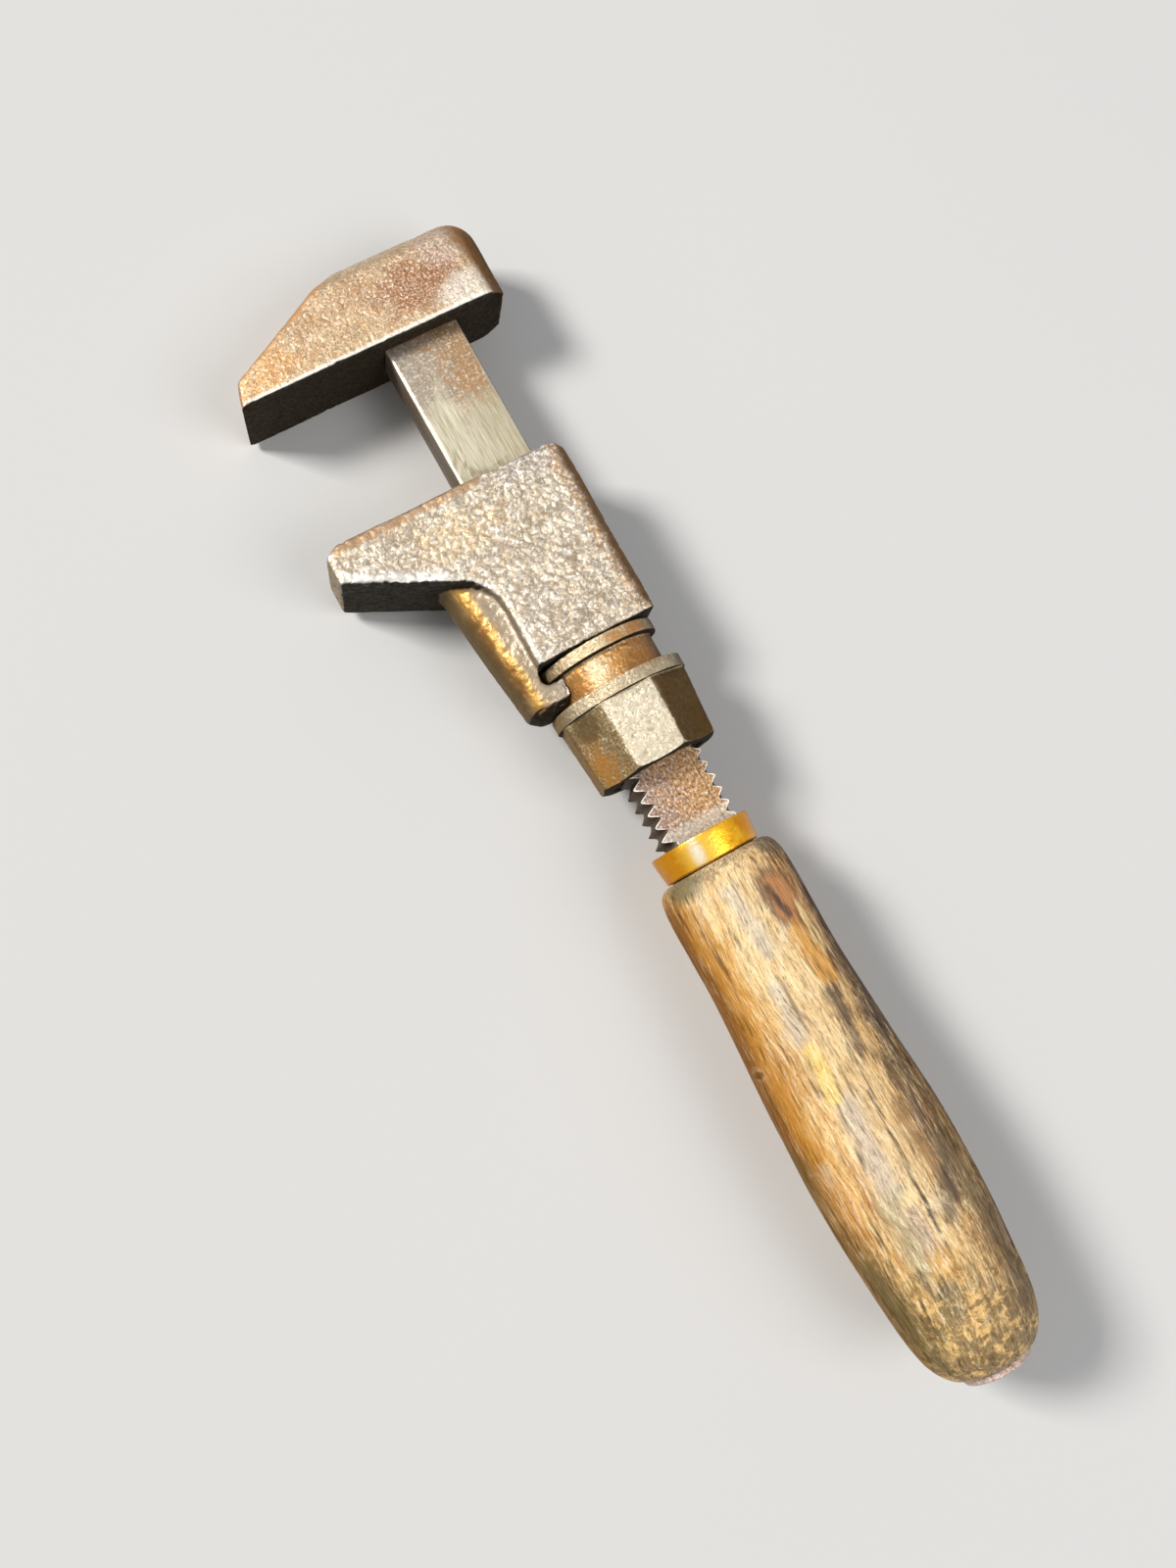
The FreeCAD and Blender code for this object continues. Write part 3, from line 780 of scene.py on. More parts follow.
class Rule(Graph):
    """A Geometry Nodes tree with named inputs."""

    def __init__(self, name: str, values: dict[str, Value]) -> None:
        """Starts a tree with a geometry input and output and an input for each value.

        Args:
            name: the tree's name.
            values: the inputs' names and what they are set to.
        """
        super().__init__(bpy.data.node_groups.new(name, "GeometryNodeTree"))
        self.values = values
        sockets = self.tree.interface
        for side in ("INPUT", "OUTPUT"):
            sockets.new_socket("Geometry", in_out=side, socket_type="NodeSocketGeometry")
        for each, value in values.items():
            kind = {int: "Int", float: "Float"}.get(type(value), "Material")
            sockets.new_socket(each, in_out="INPUT", socket_type=f"NodeSocket{kind}")
        self.start = self.node("NodeGroupInput", {})

    def __getitem__(self, name: str) -> Term:
        """An input of the tree."""
        return Term(self, self.start.outputs[name])

    def position(self) -> Term:
        """Where each point is."""
        return self.read("GeometryNodeInputPosition")

    def shifted(self, shape: Term, offset: Term) -> Term:
        """A geometry with its points shifted."""
        return self.fill("GeometryNodeSetPosition", 0, {"Geometry": shape, "Offset": offset})

    def pressed(self, shape: Term, depth: Term, pit: Term) -> Term:
        """Presses a surface inwards and stores where its pits are.

        Args:
            shape: the geometry.
            depth: how far it is pressed, in metres.
            pit: how deep the pits are, from 0 to 1.

        Returns:
            The pressed geometry.
        """
        inputs = {"Geometry": shape, "Name": Field.PIT.value, "Value": pit}
        kept = self.fill("GeometryNodeStoreNamedAttribute", 0, inputs, data_type="FLOAT", domain="POINT")
        inputs = {"Vector": self.read("GeometryNodeInputNormal"), "Scale": depth * -1.0}
        return self.shifted(kept, self.fill("ShaderNodeVectorMath", 0, inputs, operation="SCALE"))

    def run(self, shape: Term, mesh: Mesh, name: str) -> Mesh:
        """Realizes the instances, sets the material and runs the tree on a mesh.

        Args:
            shape: the geometry that the tree ends with.
            mesh: what goes in.
            name: the name of the object that carries it meanwhile.

        Returns:
            The plain mesh that comes out.
        """
        real = self.read("GeometryNodeRealizeInstances", 0, shape)
        dressed = self.fill("GeometryNodeSetMaterial", 0, {"Geometry": real, "Material": self["Finish"]})
        self.node("NodeGroupOutput", {0: dressed})
        holder = show(bpy.data.objects.new(name, mesh))
        modifier = holder.modifiers.new(name, "NODES")
        modifier.node_group = self.tree
        for item in self.tree.interface.items_tree:
            if item.item_type == "SOCKET" and item.in_out == "INPUT" and item.name in self.values:
                modifier[item.identifier] = self.values[item.name]
        bpy.context.view_layer.update()
        return bake(holder)


@dataclass
class Turning:
    """A turned piece: a profile swept round the bar's axis, with optional flats and worn hollows.

    The flats' top and foot are a depth and the flats' distance from the axis there.
    """

    name: str
    profile: list[Pair]
    step: float = 0.3
    segments: int = 192
    flats: int = 0
    flat_top: Pair = (0.0, 0.0)
    flat_foot: Pair = (1.0, 0.0)
    turn: float = 0.0
    uneven: float = 0.0
    uneven_scale: float = 60.0
    pit: float = 0.0
    pit_scale: float = 600.0
    stretch: float = 1.0
    seed: float = 0.0
    worn_bend: float = 0.3
    worn_rounds: int = 2

    def line(self) -> Mesh:
        """The profile as a line of points no further apart than a step.

        Returns:
            The line's mesh.
        """
        out = [self.profile[0]]
        for (r0, d0), (r1, d1) in zip(self.profile[:-1], self.profile[1:]):
            wide, deep = r1 - r0, d1 - d0
            parts = max(1, int(math.ceil(math.hypot(wide, deep) / self.step)))
            out += [(r0 + wide * i / parts, d0 + deep * i / parts) for i in range(1, parts + 1)]
        outline = np.array(out)
        points = np.stack([outline[:, 0], -outline[:, 1], np.zeros(len(outline))], axis=1) * MM
        line = bpy.data.meshes.new(f"{self.name}_profile")
        line.from_pydata([tuple(p) for p in points], [(i, i + 1) for i in range(len(points) - 1)], [])
        return line

    def inputs(self, stations: int, material: Material) -> dict[str, Value]:
        """The named inputs of the piece's rule.

        Args:
            stations: how many points the profile has.
            material: the piece's finish.

        Returns:
            The inputs' values.
        """
        return {
            "Stations": stations,
            "Segments": self.segments,
            "Flats": self.flats or 4,
            "Flat Top Radius": self.flat_top[1] * MM if self.flats else 1.0,
            "Flat Top Y": -self.flat_top[0] * MM,
            "Flat Foot Radius": self.flat_foot[1] * MM if self.flats else 1.0,
            "Flat Foot Y": -self.flat_foot[0] * MM,
            "Turn": math.radians(self.turn),
            "Unevenness": self.uneven * MM,
            "Unevenness Scale": self.uneven_scale,
            "Pit Depth": self.pit * MM,
            "Pit Scale": self.pit_scale,
            "Stretch": self.stretch,
            "Seed": self.seed,
            "Finish": material,
        }

    def sweep(self, g: Rule) -> Term:
        """Sweeps the profile round the axis and cuts the flats.

        Args:
            g: the piece's rule.

        Returns:
            The smooth geometry.
        """
        # The grid has a column for each sector, with the points of the profile in order.
        counts = {"Vertices X": g["Segments"] + 1, "Vertices Y": g["Stations"]}
        grid = g.fill("GeometryNodeMeshGrid", 0, counts)
        index = g.read("GeometryNodeInputIndex")
        sector = g.math("FLOOR", (index + 0.5) / g["Stations"])
        station = g.math("MODULO", index, g["Stations"])
        inputs = {"Geometry": g["Geometry"], "Value": g.position(), "Index": station}
        sample = g.fill("GeometryNodeSampleIndex", 0, inputs, data_type="FLOAT_VECTOR", domain="POINT")
        radius, along, _ = g.parts(sample)
        angle = sector / g["Segments"] * (2 * math.pi)
        each = 2 * math.pi / g["Flats"]
        from_flat = g.math("FLOORED_MODULO", angle - g["Turn"] + each / 2.0, each) - each / 2.0
        # Below the flats' top the radius ends at the nearest flat.
        share = (along - g["Flat Top Y"]) / (g["Flat Foot Y"] - g["Flat Top Y"])
        flat = g.blend(share, g["Flat Top Radius"], g["Flat Foot Radius"]) / g.math("COSINE", from_flat)
        below = g.math("GREATER_THAN", share, -0.0001)
        radius = g.blend(below, radius, g.math("MINIMUM", radius, flat))
        spot = g.point(radius * g.math("COSINE", angle), along, radius * g.math("SINE", angle))
        swept = g.fill("GeometryNodeSetPosition", 0, {"Geometry": grid, "Position": spot})
        return g.fill("GeometryNodeMergeByDistance", 0, {"Geometry": swept, "Distance": JOIN})

    def build(self, material: Material) -> Mesh:
        """Builds the piece by its rule.

        Args:
            material: its finish.

        Returns:
            The finished mesh.
        """
        line = self.line()
        g = Rule(f"{self.name}_rule", self.inputs(len(line.vertices), material))
        at, seed = g.position(), g.same(g["Seed"])
        drawn = g.vector("ADD", g.vector("MULTIPLY", at, g.point(1.0, g["Stretch"], 1.0)), seed)
        slow = g.noise(g["Unevenness Scale"], 2.0, 0.5, g.vector("ADD", at, seed))
        pit = g.ease(g.noise(g["Pit Scale"], 3.0, 0.6, drawn), 0.58, 0.95)
        shape = g.pressed(self.sweep(g), slow * g["Unevenness"] + pit * g["Pit Depth"], pit)
        mesh = mend(g.run(shape, line, self.name), outward=True)
        carry_wear(mesh, self.worn_bend, self.worn_rounds)
        return mesh


# ---- The wrench's pieces ----


@dataclass
class Forging:
    """A forged and worn piece, shaped from its solid: rounded edges, slow dents and pits.

    The passage gives half the width and half the depth of the hole in which the bar slides.
    """

    node: str
    body: str
    slot: str
    finish: ForgedSteel
    voxel: float = 0.36
    rounding: int = 9
    dent: float = 0.25
    dent_scale: float = 70.0
    pit: float = 0.14
    pit_scale: float = 620.0
    seed: float = 0.0
    passage: Pair | None = None

    def blank(self) -> Mesh:
        """The solid's surface in small even faces, with its edges worn round and its passage clear.

        Returns:
            The mesh.
        """
        source = mend(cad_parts[self.node].data.copy(), JOIN)
        holder = show(bpy.data.objects.new(f"{self.node}_blank", source))
        remesh = holder.modifiers.new("remesh", "REMESH")
        remesh.mode = "VOXEL"
        remesh.voxel_size = self.voxel * MM
        mesh = bake(holder)
        points, _, edges = mesh_arrays(mesh)
        for _ in range(self.rounding):
            points = points + 0.5 * (spread_mean(points, edges) - points)
        store_points(mesh, points)
        if self.passage is not None:
            self.clear(mesh)
        return mesh

    def clear(self, mesh: Mesh) -> None:
        """Opens the corners of the passage, which the rounding narrows.

        Args:
            mesh: the rounded mesh.
        """
        points = mesh_arrays(mesh)[0]
        wide, deep = (half * MM - np.abs(points[:, axis]) for half, axis in zip(self.passage, (0, 2)))
        inside = (wide > 0) & (deep > 0)
        for axis, gap, moved in ((0, wide, inside & (wide <= deep)), (2, deep, inside & (wide > deep))):
            points[moved, axis] += np.sign(points[moved, axis]) * gap[moved]
        store_points(mesh, points)

    def skin(self, mesh: Mesh, material: Material) -> Mesh:
        """Presses dents and pits into the surface.

        Args:
            mesh: the smooth mesh.
            material: the finish.

        Returns:
            The pitted mesh.
        """
        inputs = {
            "Dent": self.dent * MM,
            "Dent Scale": self.dent_scale,
            "Pit": self.pit * MM,
            "Pit Scale": self.pit_scale,
            "Seed": self.seed,
            "Finish": material,
        }
        g = Rule(f"{self.node}_skin", inputs)
        at = g.vector("ADD", g.position(), g.same(g["Seed"]))
        slow = g.noise(g["Dent Scale"], 2.0, 0.5, at)
        where = g.noise(g["Dent Scale"], 3.0, 0.6, g.vector("ADD", at, (0.31, 0.17, 0.23)))
        fine = g.noise(g["Pit Scale"], 3.0, 0.6, at, 0.4)
        hole = g.ease(fine + g.cells(g["Pit Scale"], at, 0.7) * -0.5, 0.22, 0.62)
        hole = hole * g.blend(where, 0.35, 1.0)
        shape = g.pressed(g["Geometry"], slow * g["Dent"] + hole * g["Pit"], hole)
        return g.run(shape, mesh, self.node)

    def build(self) -> None:
        """Builds and dresses the piece."""
        blank = self.blank()
        carry_wear(blank, reach=0.22, rounds=4)
        mesh = self.skin(blank, self.finish.material())
        hand_over(place(mesh, f"{self.node}_forging"), self.body, [self.node])


@dataclass
class Bar:
    """The bar: a polished shank, teeth along both narrow edges, and its two riveted ends.

    Each of the rings that round the bar's top has a depth below it, half a width, and how far it
    stands in from the two faces. A tooth is sunk into the root, and its caps stand out a little.
    """

    steel: Material
    rivet_steel: Material
    width: float = 16.0
    thickness: float = 9.5
    top: float = 19.8
    foot: float = -116.0
    thread_top: float = 35.6
    pitch: float = 2.822
    root: float = 7.1
    worn_roots: Pair = (7.85, 7.30)
    bevel: float = 0.35
    rounding: tuple[Point, ...] = ((0.0, 7.35, 0.5), (0.12, 7.6, 0.2))
    tip_inset: float = 0.32
    sunk: float = 0.9
    cap: float = 0.004
    wear: float = 0.15
    rivet_dome: tuple[Pair, ...] = (
        (0.0, 227.9), (3.5, 227.9), (3.58, 228.1), (3.45, 228.35), (3.0, 228.55), (2.0, 228.66),
        (0.0, 228.69),
    )

    def section(self, half: float, bevel: float, root: bool) -> np.ndarray:
        """One ring of the shank.

        Args:
            half: half the width.
            bevel: bevel of the four long edges.
            root: whether the narrow sides follow the thread's root.

        Returns:
            Points across and out of the front, in millimetres, in order round the bar.
        """
        z = self.thickness / 2 - (0.02 if root else 0.0)
        side = np.linspace(z - bevel, -(z - bevel), 9)
        edge = np.sqrt(np.maximum(self.root**2 - side**2, 0)) if root else np.full(9, half)
        face = math.sqrt(self.root**2 - z**2) if root else half - bevel
        front = np.linspace(-face, face, 25)
        ring = [(x, z) for x in front] + [(x, s) for x, s in zip(edge, side)]
        ring += [(x, -z) for x in front[::-1]] + [(-x, s) for x, s in zip(edge[::-1], side[::-1])]
        return np.array(ring)

    def shank(self) -> None:
        """Builds the shank between the riveted end and the handle."""
        half, deep, thread = self.width / 2, self.thickness / 2, -self.thread_top
        plain = [self.top - 0.6, *np.arange(18.5, thread, -0.75), thread]
        toothed = [thread - 0.02, *np.arange(thread - 0.8, self.foot + 0.2, -0.8), self.foot]
        stations = [(self.top - down, wide, self.bevel, False, inset) for down, wide, inset in self.rounding]
        stations += [(y, half, self.bevel, False, 0.0) for y in plain]
        stations += [(y, 0.0, 0.05, True, 0.0) for y in toothed]
        rings = []
        for y, wide, bevel, root, inset in stations:
            ring = self.section(wide, bevel, root)
            ring[:, 1] *= (deep - inset) / deep
            rings.append(np.stack([ring[:, 0], np.full(len(ring), y), ring[:, 1]], axis=1))
        count, points = len(rings[0]), np.concatenate(rings) * MM
        caps = [tuple(range(count)), tuple(range(len(points) - count, len(points)))]
        mesh = new_mesh("bar_shank", points, loft(len(rings), count) + caps)
        carry_wear(mesh, reach=0.35, rounds=1)
        hand_over(place(mesh, "bar_shank", self.steel), "frame", ["bar"])

    def tooth(self, root: float) -> Mesh:
        """One tooth of the right-hand edge, centred on the bar's origin, its tip and foot rounded.

        Args:
            root: radius of the groove's bottom, in millimetres.

        Returns:
            The tooth's closed mesh, with its outline on the two flat sides marked as worn.
        """
        half, deep = self.width / 2, self.thickness / 2
        share = (1 - np.cos(np.linspace(0, math.pi, 11))) / 2
        taper = self.pitch / 2 * (0.3 * (1 - share) + 0.7 * np.arccos(2 * share - 1) / math.pi)
        rows = [(z, 0.0) for z in np.linspace(-deep, deep, 11)]
        stations = [(-deep - self.cap, self.tip_inset), *rows, (deep + self.cap, self.tip_inset)]
        points = []
        for z, inset in stations:
            low = math.sqrt(root**2 - z**2)
            across = np.concatenate([[low - self.sunk], low + (half - low - inset) * share])
            wide = np.concatenate([[self.pitch / 2], np.maximum(taper - inset * share**0.5, 0.0)])
            shift = -self.pitch / (2 * math.pi) * np.arcsin(z / np.hypot(across, z))
            points += [(x, s - w, z) for x, s, w in zip(across, shift, wide)]
            points += [(x, s + w, z) for x, s, w in zip(across, shift, wide)][::-1]
        count = 2 * (len(share) + 1)
        faces = loft(len(stations), count)
        for first in (0, (len(stations) - 1) * count):
            for i in range(count // 2 - 1):
                a, b = first + i, first + count - 1 - i
                faces.append((a, a + 1, b - 1, b))
        mesh = new_mesh("tooth", np.array(points) * MM, faces)
        at = mesh_arrays(mesh)[0] / MM
        rim = (np.abs(np.abs(at[:, 2]) - deep) < 0.001) & (at[:, 0] > math.sqrt(root**2 - deep**2) - 0.1)
        carry(mesh, Field.WEAR, rim.astype(float))
        return mesh

    def teeth(self, side: int) -> None:
        """Repeats the tooth down one edge; the left-hand edge's teeth are half a pitch lower.

        Args:
            side: 0 for the right-hand edge, 1 for the left-hand one.
        """
        inputs = {
            "Teeth": int((-self.foot - self.thread_top) / self.pitch) - side,
            "Pitch": self.pitch * MM,
            "First Depth": (self.thread_top + self.pitch / 2 * (1 + side)) * MM,
            "Side": float(side),
            "Wear": self.wear * MM,
            "Seed": 5,
            "Finish": self.steel,
        }
        g = Rule("teeth_rule", inputs)
        first = g.point(None, g["First Depth"] * -1.0, None)
        step = g.point(None, g["Pitch"] * -1.0, None)
        spots = {"Count": g["Teeth"], "Start Location": first, "Offset": step}
        instances = {
            "Points": g.fill("GeometryNodeMeshLine", 0, spots, mode="OFFSET"),
            "Instance": g["Geometry"],
            "Rotation": g.point(None, g["Side"] * math.pi, None),
        }
        copies = g.fill("GeometryNodeInstanceOnPoints", 0, instances)
        at = g.position()
        rough = g.noise(420.0, 3.0, 0.6, g.vector("ADD", at, g.same(g["Seed"])))
        across = g.parts(at)[0]
        tip = g.span(g.math("ABSOLUTE", across), (self.root - 0.6) * MM, self.width / 2 * MM)
        back = g.math("SIGN", across) * (rough * tip * (g["Wear"] * -2.2))
        inward = g.point(back, (rough - 0.5) * g["Wear"], None)
        shape = g.shifted(g.read("GeometryNodeRealizeInstances", 0, copies), inward)
        mesh = g.run(shape, self.tooth(self.worn_roots[side]), "teeth")
        hand_over(place(mesh, f"bar_teeth_{side}", smooth=False), "frame", ["bar"])

    def rivet(self) -> None:
        """Builds the riveted end of the tang."""
        dome = Turning(
            "rivet",
            list(self.rivet_dome),
            step=0.25,
            segments=64,
            uneven=0.05,
            uneven_scale=400.0,
            pit=0.03,
            pit_scale=1500.0,
        )
        piece = place(dome.build(self.rivet_steel), "tang_rivet")
        hand_over(piece, "frame", ["bar"])

    def build(self) -> None:
        """Builds and dresses the bar's pieces."""
        self.shank()
        self.teeth(0)
        self.teeth(1)
        self.rivet()


def arc(centre: Pair, radius: float, start: float, end: float, parts: int = 5) -> list[Pair]:
    """Points on an arc of a profile.

    Args:
        centre: its centre, as radius and depth.
        radius: its radius.
        start: first angle in degrees; 0 points outwards and 90 down the bar.
        end: last angle.
        parts: how many steps it has.

    Returns:
        The points, as radius and depth.
    """
    angles = [math.radians(start + (end - start) * i / parts) for i in range(parts + 1)]
    return [(centre[0] + radius * math.cos(a), centre[1] + radius * math.sin(a)) for a in angles]


@dataclass
class Nut:
    """The adjusting nut: a grooved collar for the jaw's hook over an octagonal grip."""

    finish: ForgedSteel
    top: float = 71.6
    upper_radius: float = 12.8
    upper: float = 2.6
    neck_radius: float = 11.3
    neck: float = 6.2
    lower_radius: float = 14.3
    lower: float = 2.9
    grip: float = 14.7
    corner_top: float = 14.2
    corner_foot: float = 13.25
    flat_top: float = 13.4
    flat_foot: float = 12.3
    bore: float = 9.45
    rim: float = 0.28
    turn: float = 5.0

    def depths(self) -> tuple[float, float, float, float]:
        """Where the nut's four parts end.

        Returns:
            The feet of the upper rim, the neck, the lower rim and the grip.
        """
        upper = self.top + self.upper
        neck = upper + self.neck
        lower = neck + self.lower
        return upper, neck, lower, lower + self.grip

    def profile(self) -> list[Pair]:
        """The closed profile of the nut, from its bore round its outside.

        Returns:
            Radius and depth of each point.
        """
        t, r = self.top, self.rim
        a, b, c, d = self.depths()
        out = [(self.bore, t + 0.5), (self.bore + 0.5, t)]
        out += arc((self.upper_radius - r, t + r), r, -90, 0)
        out += arc((self.upper_radius - r, a - r), r, 0, 90)
        out += [(self.neck_radius + 0.25, a), (self.neck_radius, a + 0.25)]
        out += [(self.neck_radius, b - 0.25), (self.neck_radius + 0.25, b)]
        out += arc((self.lower_radius - r, b + r), r, -90, 0)
        out += arc((self.lower_radius - r, c - r), r, 0, 90)
        out += [(self.corner_top + 0.1, c), (self.corner_top, c + 0.15)]
        out += [(self.corner_foot, d - 1.0), (self.corner_foot - 0.35, d - 0.4)]
        out += [(self.flat_foot - 0.5, d), (self.bore + 0.6, d), (self.bore, d - 0.6)]
        out += [(self.bore, t + 0.5)]
        return out

    def build(self) -> None:
        """Builds and dresses the nut."""
        _, _, grip_top, grip_foot = self.depths()
        turned = Turning(
            "adjusting_nut",
            self.profile(),
            step=0.32,
            segments=288,
            flats=8,
            flat_top=(grip_top, self.flat_top - 0.02),
            flat_foot=(grip_foot, self.flat_foot - 0.02),
            turn=90.0 + self.turn,
            uneven=0.07,
            uneven_scale=120.0,
            pit=0.09,
            pit_scale=700.0,
            seed=3.0,
            worn_bend=0.20,
            worn_rounds=3,
        )
        piece = place(turned.build(self.finish.material()), "nut_turned")
        hand_over(piece, "nut", ["adjusting_nut"])


@dataclass
class Handle:
    """The wooden handle with its brass ferrule and butt washer."""

    hardwood: Material
    brass: Material
    steel: Material
    top: float = 119.5
    length: float = 107.0
    outline: tuple[Pair, ...] = (
        (10.4, 0.0), (11.2, 0.25), (12.2, 1.0), (12.9, 2.4), (13.3, 4.4), (13.5, 8.0),
        (13.4, 15.0), (13.35, 24.0), (13.85, 34.0), (14.55, 46.0), (15.05, 57.0), (15.28, 67.0),
        (15.0, 78.0), (14.2, 89.0), (13.4, 96.5), (12.3, 101.6), (11.0, 104.4), (9.4, 106.3),
        (8.0, 106.95),
    )
    widest: float = 15.3

    def curve(self, parts: int = 10) -> list[Pair]:
        """The outline as a smooth curve.

        Args:
            parts: steps between two of its points.

        Returns:
            Radius and depth of each point.
        """
        keys = np.array(self.outline)
        padded = np.vstack([2 * keys[0] - keys[1], keys, 2 * keys[-1] - keys[-2]])
        out = []
        for i in range(1, len(padded) - 2):
            p0, p1, p2, p3 = padded[i - 1 : i + 3]
            square, cube = 2 * p0 - 5 * p1 + 4 * p2 - p3, 3 * p1 - p0 - 3 * p2 + p3
            for s in (k / parts for k in range(parts)):
                spot = 0.5 * (2 * p1 + (p2 - p0) * s + square * s**2 + cube * s**3)
                out.append((float(min(spot[0], self.widest)), float(spot[1]) + self.top))
        out.append((float(keys[-1][0]), float(keys[-1][1]) + self.top))
        return out

    def wood(self) -> None:
        """Builds the wood, which reaches a little way into the ferrule."""
        top, foot = self.top, self.top + self.length - 0.02
        profile = [(0.0, top - 3.4), (9.5, top - 3.4), (9.15, top - 0.02), (10.35, top)]
        profile += self.curve() + [(7.4, foot), (0.0, foot)]
        turned = Turning(
            "handle",
            profile,
            step=0.6,
            segments=300,
            uneven=0.35,
            uneven_scale=38.0,
            pit=0.22,
            pit_scale=1000.0,
            stretch=0.07,
            seed=7.0,
        )
        hand_over(place(turned.build(self.hardwood), "handle_wood"), "frame", ["handle"])

    def ferrule(self) -> None:
        """Builds the brass ferrule."""
        t, b = self.top - 5.8, self.top
        profile = [(9.8, t + 0.25)] + arc((10.05, t + 0.25), 0.25, 180, 270, 3)
        profile += arc((10.3, t + 0.28), 0.28, -90, 0, 4)
        profile += [(10.56, t + 1.2), (10.05, b - 0.35)] + arc((9.72, b - 0.28), 0.28, 0, 90, 4)
        profile += [(9.3, b), (9.25, b - 0.2), (9.8, t + 0.25)]
        turned = Turning("ferrule", profile, uneven=0.12, uneven_scale=160.0, pit=0.03, pit_scale=900.0)
        hand_over(place(turned.build(self.brass), "ferrule_ring"), "frame", ["ferrule"])

    def washer(self) -> None:
        """Builds the butt washer."""
        t = self.top + self.length
        profile = [(2.1, t + 0.02), (7.0, t + 0.02)] + arc((6.8, t + 0.4), 0.38, -60, 0, 3)
        profile += arc((6.8, t + 1.1), 0.38, 0, 90, 5) + [(2.1, t + 1.48), (2.1, t + 0.02)]
        wear = {"uneven": 0.08, "uneven_scale": 250.0, "pit": 0.04, "pit_scale": 1100.0}
        mesh = Turning("washer", profile, segments=128, **wear).build(self.steel)
        hand_over(place(mesh, "butt_washer_disc"), "frame", ["butt_washer"])

    def build(self) -> None:
        """Builds and dresses the handle's pieces."""
        self.wood()
        self.ferrule()
        self.washer()


# ---- Floor, lamps and camera ----


@dataclass(frozen=True)
class Lamp:
    """A soft square lamp."""

    name: str
    spot: Point
    side: float
    watts: float
    colour: Colour

    def hang(self, target: Point) -> None:
        """Hangs the lamp.

        Args:
            target: what it faces.
        """
        data = bpy.data.lights.new(self.name, "AREA")
        data.shape, data.size, data.energy, data.color = "SQUARE", self.side, self.watts, self.colour
        made = show(bpy.data.objects.new(self.name, data))
        aim = (Vector(target) - Vector(self.spot)).to_track_quat("-Z", "Y")
        made.matrix_world = Matrix.Translation(self.spot) @ aim.to_matrix().to_4x4()


